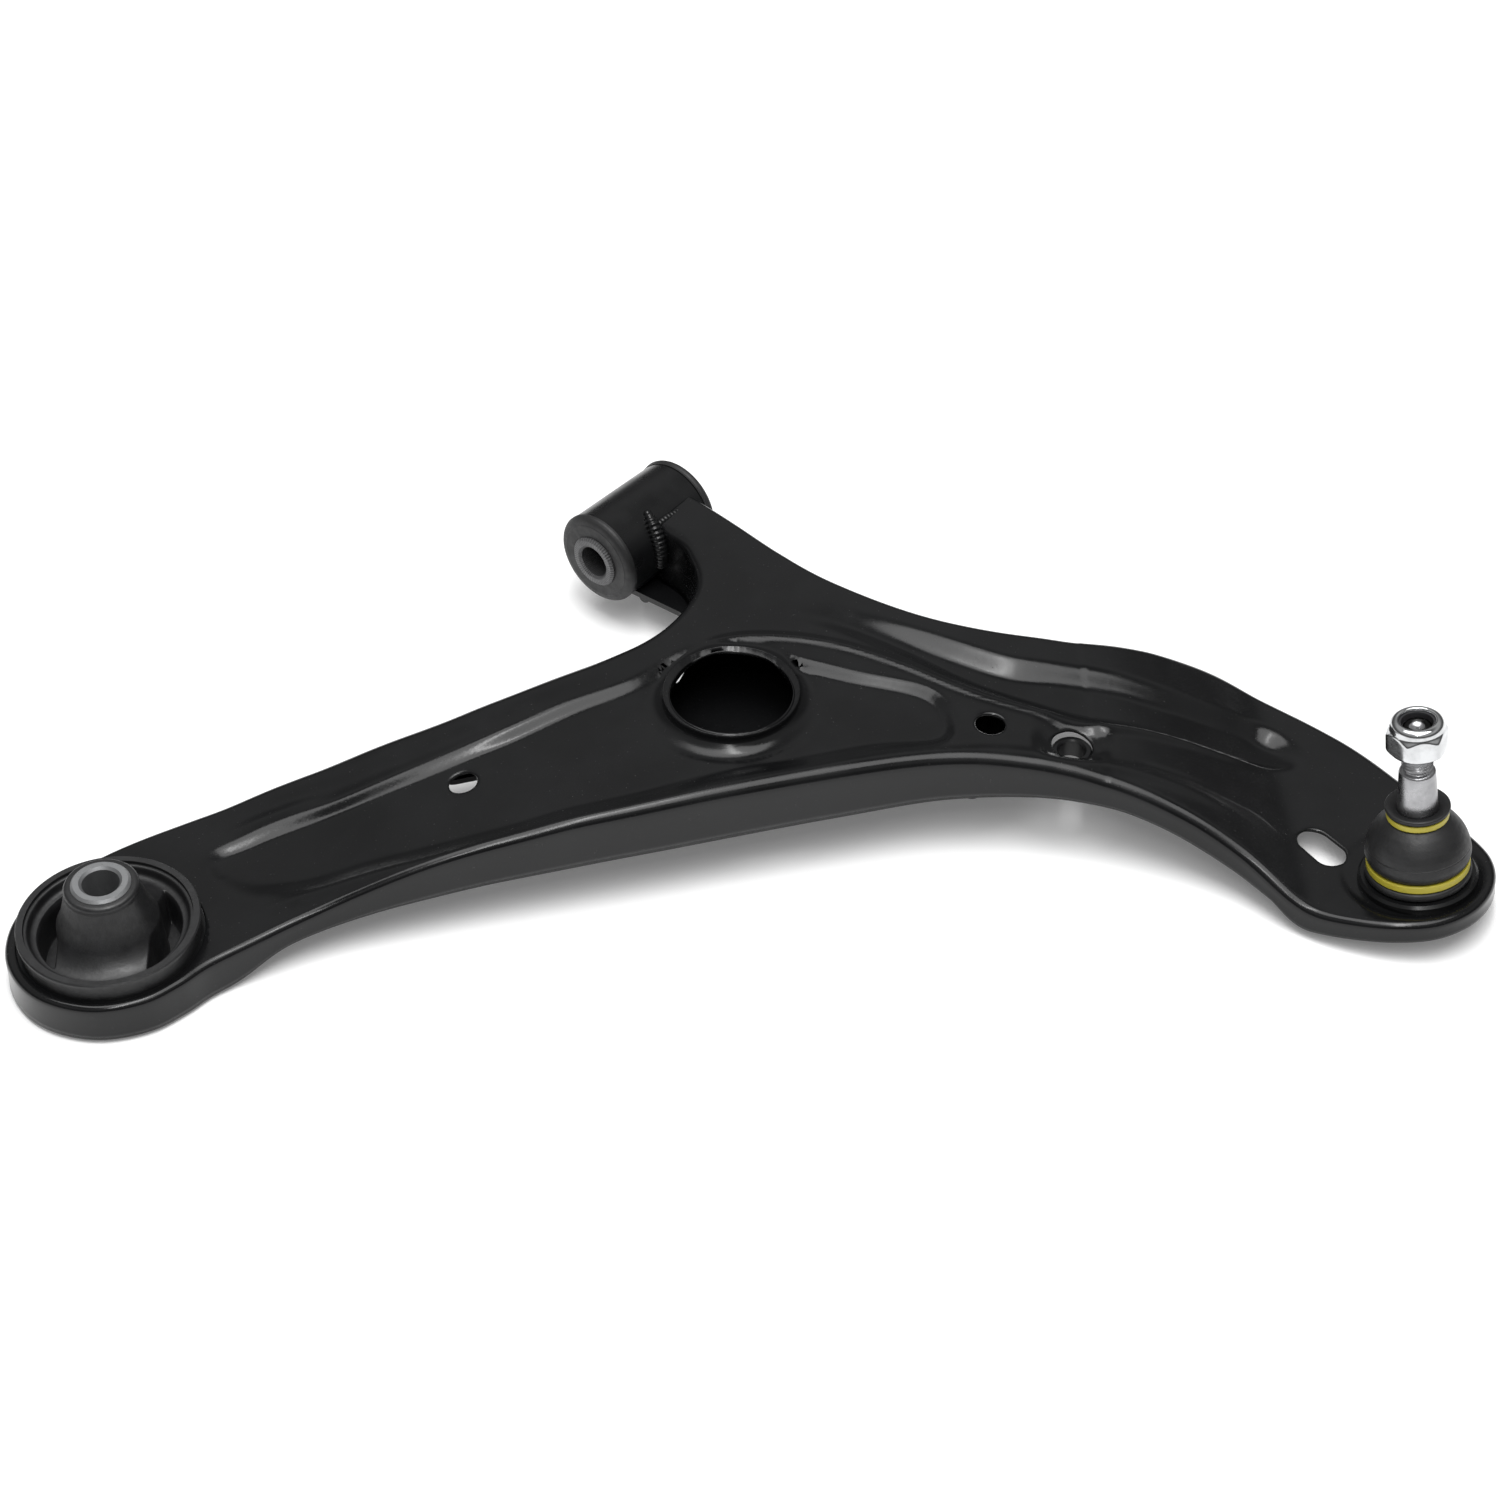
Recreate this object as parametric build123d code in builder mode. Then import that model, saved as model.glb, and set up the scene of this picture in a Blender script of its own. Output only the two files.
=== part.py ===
# Lower control arm of a small car's front suspension, left side, as one loose assembly.
# Millimetres. Origin at the centre of the front bush, +X along the pivot axis to the front of the
# car, +Y toward the middle of the car, +Z up. The ball joint is on the -Y side.
import os
from math import cos, hypot, radians, sin, tan

from build123d import *

# ---- overall layout ----
BUSH_SPACING = 295.0      # front bush centre to rear bush axis
BALL_X = 50.5             # ball centre
BALL_Y = -355.0
BALL_Z = -16.5
STUD_TILT = 10.0          # degrees, top of the stud leans inboard
SHEET = 3.0               # thickness of the pressed steel shell
EYE_RADIUS = 38.4         # outside of the shell around the rear bush
EYE_SEAT = 35.0           # hole for the rear bush and its collar
TIP_RADIUS = 34.0         # outside of the shell around the ball joint
RUN = 0.05                # radial running clearance of turning fits

# ---- front bush, axis along X ----
TUBE_RADIUS = 20.0
TUBE_WALL = 2.5
TUBE_LENGTH = 46.5
BUSH_SHELL_WALL = 1.5
FRONT_SLEEVE_RADIUS = 11.3
FRONT_BORE = 7.0          # M14 bolt, close clearance
FRONT_SLEEVE_LENGTH = 57.0
RUBBER_LIP = 3.5          # rubber outside each end of the tube

# ---- rear bush, axis vertical ----
RING_RADIUS = 33.7
RING_WALL = 2.2
RING_TOP = -8.0
RING_BOTTOM = -32.0
REAR_SLEEVE_RADIUS = 11.2
REAR_BORE = 7.0           # M14 bolt, close clearance
REAR_SLEEVE_TOP = 12.0
REAR_SLEEVE_BOTTOM = -33.0
VOID_ANGLE = -50.0        # direction of the soft side of the rubber, in plan

# ---- ball joint, heights along the stud axis from the ball centre ----
BALL_RADIUS = 12.5
SEAT_WALL = 2.0
HOUSING_RADIUS = 18.0
FLANGE_RADIUS = 22.6
FLANGE_THICK = 4.0
PAD_TOP = -2.5            # shell surface under the housing flange
HOUSING_BOTTOM = -14.6
HOUSING_TOP = 10.0
NECK_RADIUS = 5.5
TAPER_START = 33.0
TAPER_END = 50.0
TAPER_BIG = 7.7
TAPER_SMALL = 6.85
THREAD_RADIUS = 6.0       # M12 x 1.25
STUD_END = 70.0
NUT_BOTTOM = 59.5
NUT_FLATS = 21.0
NUT_HEX_HEIGHT = 9.5
NUT_TOTAL = 13.5
BOOT_LIP_RADIUS = 12.8
BOOT_BELLY = 20.0
CLIP_WIRE = 1.1           # half width of the clip rings

# ---- openings in the shell ----
HUB_X, HUB_Y = -68.0, -111.0
HUB_RADIUS = 27.0
HUB_LIP_BASE = 10.0
HUB_LIP_TOP = 20.0
CHANNEL_DEPTH = 5.5
DRAIN_X, DRAIN_Y, DRAIN_RADIUS = -162.6, -55.7, 5.5
TOOL_X, TOOL_Y, TOOL_RADIUS = -13.6, -197.0, 5.8
LINK_X, LINK_Y = 2.6, -225.0
LINK_OUTER = 8.0
LINK_BORE = 5.25
LINK_TOP = 4.5
LINK_BOTTOM = -4.0
LINK_DIMPLE = 13.0        # radius of the dimple round the link hole
SLOT_X, SLOT_Y = 43.4, -317.1
SLOT_LENGTH = 9.0         # between the two end centres
SLOT_RADIUS = 6.3
SLOT_ANGLE = 76.0

REAR_X = -BUSH_SPACING
LENGTH = hypot(BALL_X - REAR_X, BALL_Y)
ALONG = ((BALL_X - REAR_X) / LENGTH, BALL_Y / LENGTH)     # rear bush to ball joint, in plan
ACROSS = (-ALONG[1], ALONG[0])                            # to the left of that line

stud_frame = Plane(
    origin=(BALL_X, BALL_Y, BALL_Z),
    x_dir=(1, 0, 0),
    z_dir=(0, sin(radians(STUD_TILT)), cos(radians(STUD_TILT))),
)
stud_axis = Axis(stud_frame.origin, stud_frame.z_dir)
stud_section = Plane(origin=stud_frame.origin, x_dir=(1, 0, 0), z_dir=-stud_frame.y_dir)
rear_section = Plane(origin=(REAR_X, 0, 0), x_dir=(1, 0, 0), z_dir=(0, -1, 0))
rear_axis = Axis((REAR_X, 0, 0), (0, 0, 1))
front_section = Plane.XY
front_axis = Axis.X


# Side view of the shell along the line from rear bush to ball joint: distance from the rear bush
# axis and height. The crown is the top face, the hem is the lower edge of the side walls.
EYE_TOP = -16.0
EYE_HEM = -31.5
SHELF_TOP = -22.0         # low ground round the ball joint
SHELF_HEM = -27.0
PLATE_TOP = -14.5         # closing plate under the front leg and the hub
PLATE_THICK = 2.5
PAD_RIM = 6.0             # height of the rim round the ball joint
CROWN = [
    (40, EYE_TOP), (75, -10.0), (105, -1.5), (140, 6.5), (175, 11.0), (225, 13.5), (280, 14.3),
    (330, 13.4), (365, 10.8), (392, 6.0), (415, -1.5), (437, -12.0), (465, -30.0),
]
HEM = [
    (62, -21.5), (105, -15.5), (140, -12.4), (190, -10.2), (250, -9.0), (295, -7.8), (330, -6.0),
    (360, -3.9), (385, -4.4), (403, -9.0), (420, -15.6), (437, -22.0), (462, SHELF_HEM),
]
side_view = Plane(origin=(REAR_X, 0, 0), x_dir=(*ALONG, 0), z_dir=(-ACROSS[0], -ACROSS[1], 0))


def crown_block(lower_by, shelf_lower_by, pad_radius):
    """Solid below the top face of the shell, lowered by the given amounts."""
    with BuildPart() as block:
        with BuildSketch(side_view):
            with BuildLine():
                flat = Line((-80, EYE_TOP - lower_by), (CROWN[0][0], EYE_TOP - lower_by))
                crown = Spline([(s, h - lower_by) for s, h in CROWN], tangents=[(1, 0), (1, -0.7)])
                Polyline(crown @ 1, (465, -120), (-80, -120), flat @ 0)
            make_face()
            with Locations((270, SHELF_TOP - shelf_lower_by)):
                Rectangle(400, 90, align=(Align.MIN, Align.MAX))
        extrude(amount=260, both=True)
        with BuildSketch(stud_frame.offset(PAD_TOP - shelf_lower_by)):
            Circle(pad_radius)
        extrude(amount=-80)
    return block.part


def hem_block():
    """Solid below the lower edge of the side walls."""
    with BuildPart() as block:
        with BuildSketch(side_view):
            with BuildLine():
                flat = Line((-80, EYE_HEM), (46, EYE_HEM))
                step = Spline(flat @ 1, HEM[0], tangents=[(1, 0), (1, 0.25)])
                hem = Spline(HEM, tangents=[(1, 0.25), (1, 0)])
                Polyline(hem @ 1, (560, SHELF_HEM), (560, -120), (-80, -120), flat @ 0)
            make_face()
        extrude(amount=260, both=True)
        # round the ball joint the hem follows the tilted pad
        with BuildSketch(stud_frame.offset(PAD_TOP - PAD_RIM)):
            Circle(TIP_RADIUS + 14)
        extrude(amount=-60)
        # the walls of the front leg and of the inboard side reach down to the closing plate
        with Locations((-48, -74, PLATE_TOP), (-158, -66, PLATE_TOP)):
            Box(110, 120, 60, align=(Align.MIN, Align.MIN, Align.MIN), mode=Mode.SUBTRACT)
        # the deep hem ends sooner on the inboard side of the eye
        with Locations((REAR_X + 8, 20, -80)):
            Box(80, 80, 80 + HEM[0][1], align=(Align.MIN, Align.MIN, Align.MIN))
    return block.part


def beside(curve, distance, count):
    """Points beside a curve, to its left by the distance."""
    steps = [i / count for i in range(count + 1)]
    return [
        curve.position_at(t) + Vector(0, 0, 1).cross(curve.tangent_at(t)) * distance for t in steps
    ]


def outline(inset):
    """Plan outline of the shell as a face, moved inward by the sheet thickness when asked."""
    eye = [
        (REAR_X + (EYE_RADIUS + more) * cos(radians(turn)), (EYE_RADIUS + more) * sin(radians(turn)))
        for turn, more in ((90, 1.4), (118, 2.4), (146, 2.4), (174, 1.4), (202, 0.3), (230, 0), (258, 0))
    ]
    inboard = [
        (-5, -10), (-8, -33), (-22, -52), (-50, -60.5), (-80, -54), (-136, -30), (-172, -7),
        (-208, 14), (-240, 28), (REAR_X + 29, EYE_RADIUS - 3.4),
    ]
    outboard = [
        (REAR_X + 14, -EYE_RADIUS - 1.6), (-262, -46.5), (-238, -57), (-204, -79), (-139, -126),
        (-80, -168), (-41, -199), (-16, -232), (1, -270), (8, -300), (8, -325), (11, -343),
    ]
    tip = [
        (BALL_X + TIP_RADIUS * cos(radians(turn)), BALL_Y + 5.5 + TIP_RADIUS * sin(radians(turn)))
        for turn in (206, 234, 262, 290, 318)
    ]
    front = [
        (90, -345), (99, -318), (104.5, -285), (100, -242), (77, -212), (49.5, -185), (25, -145),
        (15, -97), (15, -68), (18, -38), (20, -10),
    ]
    with BuildSketch() as plan:
        with BuildLine():
            rim = Spline(inboard + eye + outboard + tip + front, mode=Mode.PRIVATE)
            edge = Spline(beside(rim, inset, 64))
            Line(edge @ 1, edge @ 0)
        make_face()
    return plan.sketch


def channel(grow, floor):
    """Tool for the long hollow beside the far edge, from above the shell down to its floor."""
    with BuildPart() as tool:
        with BuildSketch(Plane.XY.offset(-60)):
            with BuildLine():
                leaf = Spline((6, -150), (27, -183), (52, -214), (74, -246), (88, -272), (82, -293),
                              (64, -272), (42, -244), (17, -208), (4, -176), periodic=True,
                              mode=Mode.PRIVATE)
                Spline(beside(leaf, grow, 36)[:-1], periodic=True)
            make_face()
        extrude(amount=160)
        add(floor, mode=Mode.SUBTRACT)
    return tool.part


print("shell")
outer_top = crown_block(0, 0, TIP_RADIUS + 1.7)
inner_top = crown_block(SHEET, SHEET, TIP_RADIUS + 1.7 - SHEET)
channel_floor = crown_block(CHANNEL_DEPTH, 0, 1)
channel_floor_inner = crown_block(CHANNEL_DEPTH + SHEET, SHEET, 1)
under_edge = hem_block()
outer_outline = outline(0)
inner_outline = outline(SHEET)
channel_tool = channel(0, channel_floor)
channel_tool_inner = channel(SHEET, channel_floor_inner)


def link_dimple(grow, floor):
    """Tool for the dimple round the link hole, from its floor up."""
    with BuildPart() as tool:
        with BuildSketch(Plane.XY.offset(floor)):
            with Locations((LINK_X, LINK_Y)):
                Circle(LINK_DIMPLE + grow)
        extrude(amount=60)
    return tool.part



with BuildPart() as shell_core:
    with BuildSketch(Plane.XY.offset(-60)):
        add(inner_outline)
    extrude(amount=160)
    add(inner_top, mode=Mode.INTERSECT)
    add(channel_tool_inner, mode=Mode.SUBTRACT)
    add(link_dimple(SHEET, LINK_TOP - 0.8 - SHEET), mode=Mode.SUBTRACT)
    with BuildSketch(stud_frame.offset(PAD_TOP - SHEET)):
        Circle(FLANGE_RADIUS + 1 + SHEET)
    extrude(amount=60, mode=Mode.SUBTRACT)

with BuildPart() as arm_shell:
    with BuildSketch(Plane.XY.offset(-60)):
        add(outer_outline)
    extrude(amount=160)
    add(outer_top, mode=Mode.INTERSECT)
    add(channel_tool, mode=Mode.SUBTRACT)
    add(link_dimple(0, LINK_TOP - 0.8), mode=Mode.SUBTRACT)
    add(shell_core.part, mode=Mode.SUBTRACT)
    add(under_edge, mode=Mode.SUBTRACT)
    # raised lip round the hub opening
    with BuildSketch(Plane.XY.offset(HUB_LIP_BASE)):
        with Locations((HUB_X, HUB_Y)):
            Circle(HUB_RADIUS)
    extrude(amount=HUB_LIP_TOP - HUB_LIP_BASE)
    with Locations((HUB_X, HUB_Y, 0)):
        Cylinder(HUB_RADIUS - SHEET, 120, mode=Mode.SUBTRACT)
    for x, y, radius in (
        (DRAIN_X, DRAIN_Y, DRAIN_RADIUS), (TOOL_X, TOOL_Y, TOOL_RADIUS), (LINK_X, LINK_Y, LINK_OUTER),
    ):
        with Locations((x, y, 0)):
            Cylinder(radius, 120, mode=Mode.SUBTRACT)
    with BuildSketch(Plane.XY.offset(-60)):
        with Locations((SLOT_X, SLOT_Y)):
            SlotCenterToCenter(SLOT_LENGTH, 2 * SLOT_RADIUS, rotation=SLOT_ANGLE)
    extrude(amount=120, mode=Mode.SUBTRACT)
    # seat of the rear bush, seat of the ball joint, cradle for the front tube
    with Locations((REAR_X, 0, 0)):
        Cylinder(EYE_SEAT, 120, mode=Mode.SUBTRACT)
    with BuildSketch(stud_frame.offset(PAD_TOP)):
        Circle(FLANGE_RADIUS + 1)
    extrude(amount=60, mode=Mode.SUBTRACT)
    with BuildSketch(stud_frame.offset(-40)):
        Circle(HOUSING_RADIUS)
    extrude(amount=80, mode=Mode.SUBTRACT)
    with Locations(Location((0, 0, 0), (0, 90, 0))):
        Cylinder(TUBE_RADIUS, 200, mode=Mode.SUBTRACT)


print("closing plate and front eye")
with BuildPart() as lower_plate:
    with BuildSketch(Plane.XY.offset(PLATE_TOP - PLATE_THICK)):
        with BuildLine():
            Polyline((-18, -8), (19.5, -8), (16, -45), (11, -80), (12, -100), (17, -130), (30, -165),
                     (11.5, -192), (-4.5, -208.5), (-26, -200), (-34, -184), (-60, -160), (-110, -120),
                     (-122, -74), (-128, -54.5), (-153.5, -38), (-153.5, -25), (-138, -35),
                     (-84, -60), (-50, -67), (-26, -58), (-16, -38), close=True)
        make_face()
    extrude(amount=PLATE_THICK)
    fillet(lower_plate.edges().filter_by(Axis.Z), radius=4)
    with Locations(Location((0, 0, 0), (0, 90, 0))):
        Cylinder(TUBE_RADIUS, 200, mode=Mode.SUBTRACT)

with BuildPart() as front_tube:
    with Locations(Location((0, 0, 0), (0, 90, 0))):
        Cylinder(TUBE_RADIUS, TUBE_LENGTH)
        Cylinder(TUBE_RADIUS - TUBE_WALL, TUBE_LENGTH + 2, mode=Mode.SUBTRACT)
    chamfer(front_tube.edges().filter_by(GeomType.CIRCLE), length=0.5)

# fillet welds where the shell and the closing plate meet the tube
with BuildPart() as eye_weld_upper:
    with Locations(Location((7.7, -15.8, CROWN[5][1]), (0, 90, 0))):
        Cylinder(3.0, 23)
    with Locations(Location((0, 0, 0), (0, 90, 0))):
        Cylinder(TUBE_RADIUS, 200, mode=Mode.SUBTRACT)
    add(arm_shell.part, mode=Mode.SUBTRACT)
    with Locations((8, -20, CROWN[5][1] - 1.5)):
        Box(60, 40, 40, align=(Align.CENTER, Align.CENTER, Align.MAX), mode=Mode.SUBTRACT)

with BuildPart() as eye_weld_lower:
    with Locations(Location((0, -17.5, PLATE_TOP - PLATE_THICK), (0, 90, 0))):
        Cylinder(2.8, 34)
    fillet(eye_weld_lower.edges(), radius=1.3)
    with Locations(Location((0, 0, 0), (0, 90, 0))):
        Cylinder(TUBE_RADIUS, 200, mode=Mode.SUBTRACT)
    add(lower_plate.part, mode=Mode.SUBTRACT)
    with Locations((0, -10, PLATE_TOP)):
        Box(60, 40, 30, align=(Align.CENTER, Align.CENTER, Align.MIN), mode=Mode.SUBTRACT)

print("front bush")
bush_outer = TUBE_RADIUS - TUBE_WALL
bush_inner = bush_outer - BUSH_SHELL_WALL
with BuildPart() as front_bush_shell:
    with Locations(Location((0, 0, 0), (0, 90, 0))):
        Cylinder(bush_outer, TUBE_LENGTH)
        Cylinder(bush_inner, TUBE_LENGTH + 2, mode=Mode.SUBTRACT)

# rubber fills the shell and stands out at both ends as a rounded lip over the tube end
lip_end = TUBE_LENGTH / 2 + RUBBER_LIP
with BuildPart() as front_bush_rubber:
    with BuildSketch(front_section):
        with BuildLine():
            Polyline(
                (-lip_end, FRONT_SLEEVE_RADIUS + RUN), (-lip_end, TUBE_RADIUS - 3.5),
                (-lip_end + 1.2, TUBE_RADIUS - 0.6), (-TUBE_LENGTH / 2 - 0.9, TUBE_RADIUS + 0.3),
                (-TUBE_LENGTH / 2, TUBE_RADIUS + 0.3), (-TUBE_LENGTH / 2, bush_inner),
                (TUBE_LENGTH / 2, bush_inner), (TUBE_LENGTH / 2, TUBE_RADIUS + 0.3),
                (TUBE_LENGTH / 2 + 0.9, TUBE_RADIUS + 0.3), (lip_end - 1.2, TUBE_RADIUS - 0.6),
                (lip_end, TUBE_RADIUS - 3.5), (lip_end, FRONT_SLEEVE_RADIUS + RUN), close=True)
        make_face()
    revolve(axis=front_axis)

with BuildPart() as front_bush_sleeve:
    with Locations(Location((0, 0, 0), (0, 90, 0))):
        Cylinder(FRONT_SLEEVE_RADIUS, FRONT_SLEEVE_LENGTH)
        Cylinder(FRONT_BORE, FRONT_SLEEVE_LENGTH + 2, mode=Mode.SUBTRACT)
    chamfer(front_bush_sleeve.edges().filter_by(GeomType.CIRCLE), length=1.0)

print("rear bush")
with BuildPart() as rear_eye_collar:
    with Locations((REAR_X, 0, EYE_HEM)):
        Cylinder(EYE_SEAT, EYE_TOP - 1 - EYE_HEM, align=(Align.CENTER, Align.CENTER, Align.MIN))
        Cylinder(RING_RADIUS, 80, mode=Mode.SUBTRACT)

with BuildPart() as rear_bush_ring:
    with BuildSketch(rear_section):
        with BuildLine():
            Polyline(
                (RING_RADIUS - RING_WALL, RING_BOTTOM), (RING_RADIUS, RING_BOTTOM),
                (RING_RADIUS, RING_TOP - 2.2), (RING_RADIUS + 0.7, RING_TOP - 1.6),
                (RING_RADIUS + 0.7, RING_TOP - 0.5), (RING_RADIUS + 0.2, RING_TOP),
                (RING_RADIUS - RING_WALL, RING_TOP), close=True)
        make_face()
    revolve(axis=rear_axis)

sleeve_fit = REAR_SLEEVE_RADIUS + RUN
ring_inner = RING_RADIUS - RING_WALL
with BuildPart() as rear_bush_rubber:
    with BuildSketch(rear_section):
        with BuildLine():
            Polyline(
                (sleeve_fit, RING_BOTTOM + 1), (ring_inner - 6, RING_BOTTOM + 1),
                (ring_inner - 3, RING_BOTTOM), (ring_inner, RING_BOTTOM), (ring_inner, RING_TOP - 1.5),
                (ring_inner - 2.2, RING_TOP - 1.5), (ring_inner - 4.5, RING_TOP - 5),
                (ring_inner - 8.5, RING_TOP - 3.5), (19.5, RING_TOP), (17.0, RING_TOP + 5),
                (15.5, REAR_SLEEVE_TOP - 10), (14.0, REAR_SLEEVE_TOP - 4.5),
                (14.0, REAR_SLEEVE_TOP - 2.2), (12.6, REAR_SLEEVE_TOP - 1.2),
                (sleeve_fit, REAR_SLEEVE_TOP - 1.2), close=True)
        make_face()
    revolve(axis=rear_axis)
    # two blind kidney pockets that make the bush soft in one direction
    with BuildSketch(Plane.XY.offset(RING_BOTTOM + 4)):
        with Locations((REAR_X, 0)):
            Circle(26.5)
            Circle(19.5, mode=Mode.SUBTRACT)
            Rectangle(35, 80, rotation=VOID_ANGLE, mode=Mode.SUBTRACT)
    extrude(amount=120, mode=Mode.SUBTRACT)

with BuildPart() as rear_bush_sleeve:
    with Locations((REAR_X, 0, REAR_SLEEVE_BOTTOM)):
        Cylinder(REAR_SLEEVE_RADIUS, REAR_SLEEVE_TOP - REAR_SLEEVE_BOTTOM,
                 align=(Align.CENTER, Align.CENTER, Align.MIN))
        Cylinder(REAR_BORE, 200, mode=Mode.SUBTRACT)
    chamfer(rear_bush_sleeve.edges().filter_by(GeomType.CIRCLE), length=1.0)

print("link spacer")
with BuildPart() as link_spacer:
    with Locations((LINK_X, LINK_Y, LINK_BOTTOM)):
        Cylinder(LINK_OUTER, LINK_TOP - LINK_BOTTOM, align=(Align.CENTER, Align.CENTER, Align.MIN))
        Cylinder(LINK_BORE, 60, mode=Mode.SUBTRACT)
    chamfer(link_spacer.edges().filter_by(GeomType.CIRCLE), length=0.6)

print("ball joint")
seat_outer = BALL_RADIUS + RUN + SEAT_WALL
cover_top = HOUSING_BOTTOM + 2.0
washer_top = cover_top + 0.9
seat_bottom = washer_top
lip_height = 7.5                       # where the seat stops above the ball centre
lip_bore = (BALL_RADIUS ** 2 - lip_height ** 2) ** 0.5 - 0.1
boot_seat_low = PAD_TOP + FLANGE_THICK
with BuildPart() as bj_housing:
    with BuildSketch(stud_section):
        with BuildLine():
            Polyline(
                (seat_outer, HOUSING_BOTTOM + 0.6), (HOUSING_RADIUS - 3.2, HOUSING_BOTTOM),
                (HOUSING_RADIUS - 1.0, HOUSING_BOTTOM + 1.4), (HOUSING_RADIUS, HOUSING_BOTTOM + 3.4),
                (HOUSING_RADIUS, PAD_TOP), (FLANGE_RADIUS, PAD_TOP),
                (FLANGE_RADIUS, boot_seat_low - 1), (FLANGE_RADIUS - 1, boot_seat_low),
                (HOUSING_RADIUS - 1.8, boot_seat_low), (HOUSING_RADIUS - 1.8, HOUSING_TOP - 1),
                (HOUSING_RADIUS - 2.6, HOUSING_TOP), (HOUSING_RADIUS - 4.4, HOUSING_TOP),
                (lip_bore + 1.0, lip_height), (seat_outer, lip_height - 1.2), close=True)
        make_face()
    revolve(axis=stud_axis)

with BuildPart() as bj_seat:
    with BuildSketch(stud_section):
        with BuildLine():
            Polyline((0, seat_bottom), (seat_outer, seat_bottom), (seat_outer, lip_height - 1.2),
                     (lip_bore + 1.0, lip_height - 0.05), (lip_bore, lip_height - 0.05),
                     (0, lip_height - 0.05), close=True)
        make_face()
    revolve(axis=stud_axis)
    with Locations(Location(stud_frame.origin)):
        Sphere(BALL_RADIUS + RUN, mode=Mode.SUBTRACT)
    with BuildSketch(stud_frame.offset(seat_bottom - 1)):
        Circle(6.5)
    extrude(amount=6, mode=Mode.SUBTRACT)
    with BuildSketch(stud_frame):
        Circle(lip_bore)
    extrude(amount=20, mode=Mode.SUBTRACT)

with BuildPart() as bj_washer:
    with BuildSketch(stud_frame.offset(cover_top)):
        Circle(seat_outer)
        Circle(7, mode=Mode.SUBTRACT)
    extrude(amount=washer_top - cover_top)

with BuildPart() as bj_cover:
    with BuildSketch(stud_frame.offset(cover_top)):
        Circle(seat_outer)
    extrude(amount=-1.6)
    chamfer(bj_cover.edges().sort_by(Axis(stud_axis.position, stud_axis.direction))[:1], length=0.5)

with BuildPart() as ball_stud:
    with BuildSketch(stud_section):
        with BuildLine():
            Polyline(
                (0, 8), (NECK_RADIUS, 8), (NECK_RADIUS, 20), (NECK_RADIUS + 1.2, 24),
                (TAPER_BIG, TAPER_START - 5), (TAPER_BIG, TAPER_START), (TAPER_SMALL, TAPER_END - 0.6),
                (TAPER_SMALL - 0.6, TAPER_END), (THREAD_RADIUS - 0.9, TAPER_END),
                (THREAD_RADIUS - 0.9, TAPER_END + 1.2), (THREAD_RADIUS, TAPER_END + 2.1),
                (THREAD_RADIUS, STUD_END - 1.2), (THREAD_RADIUS - 1.2, STUD_END), (0, STUD_END),
                close=True)
        make_face()
    revolve(axis=stud_axis)
    with Locations(Location(stud_frame.origin)):
        Sphere(BALL_RADIUS)
    with BuildSketch(stud_frame.offset(-BALL_RADIUS + 1.3)):
        Circle(20)
    extrude(amount=-10, mode=Mode.SUBTRACT)

with BuildPart() as lock_nut:
    with BuildSketch(stud_frame.offset(NUT_BOTTOM)):
        RegularPolygon(NUT_FLATS / 2, 6, major_radius=False, rotation=12)
    extrude(amount=NUT_HEX_HEIGHT)
    with BuildSketch(stud_section):
        with BuildLine():
            Polyline((0, NUT_BOTTOM), (NUT_FLATS / 2 - 0.2, NUT_BOTTOM), (NUT_FLATS / 2 + 1.5, NUT_BOTTOM + 1),
                     (NUT_FLATS / 2 + 1.5, NUT_BOTTOM + NUT_HEX_HEIGHT - 1.4),
                     (NUT_FLATS / 2 - 0.6, NUT_BOTTOM + NUT_HEX_HEIGHT),
                     (NUT_FLATS / 2 - 0.6, NUT_BOTTOM + NUT_TOTAL - 2.2),
                     (NUT_FLATS / 2 - 2.0, NUT_BOTTOM + NUT_TOTAL), (0, NUT_BOTTOM + NUT_TOTAL), close=True)
        make_face()
    revolve(axis=stud_axis, mode=Mode.INTERSECT)
    with BuildSketch(stud_frame.offset(NUT_BOTTOM + NUT_HEX_HEIGHT - 0.2)):
        Circle(NUT_FLATS / 2 - 0.6)
    extrude(amount=NUT_TOTAL - NUT_HEX_HEIGHT - 1.6)
    with BuildSketch(stud_frame.offset(NUT_BOTTOM + NUT_TOTAL - 1.8)):
        Circle(NUT_FLATS / 2 - 0.6)
    extrude(amount=1.8, taper=35)
    with BuildSketch(stud_frame.offset(NUT_BOTTOM - 1)):
        Circle(THREAD_RADIUS)
    extrude(amount=40, mode=Mode.SUBTRACT)
    with BuildSketch(stud_frame.offset(NUT_BOTTOM + NUT_HEX_HEIGHT)):
        Circle(THREAD_RADIUS + 1.3)
    extrude(amount=2.6, mode=Mode.SUBTRACT)

with BuildPart() as nut_insert:
    with BuildSketch(stud_frame.offset(NUT_BOTTOM + NUT_HEX_HEIGHT)):
        Circle(THREAD_RADIUS + 1.3)
        Circle(THREAD_RADIUS, mode=Mode.SUBTRACT)
    extrude(amount=2.6)

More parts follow.
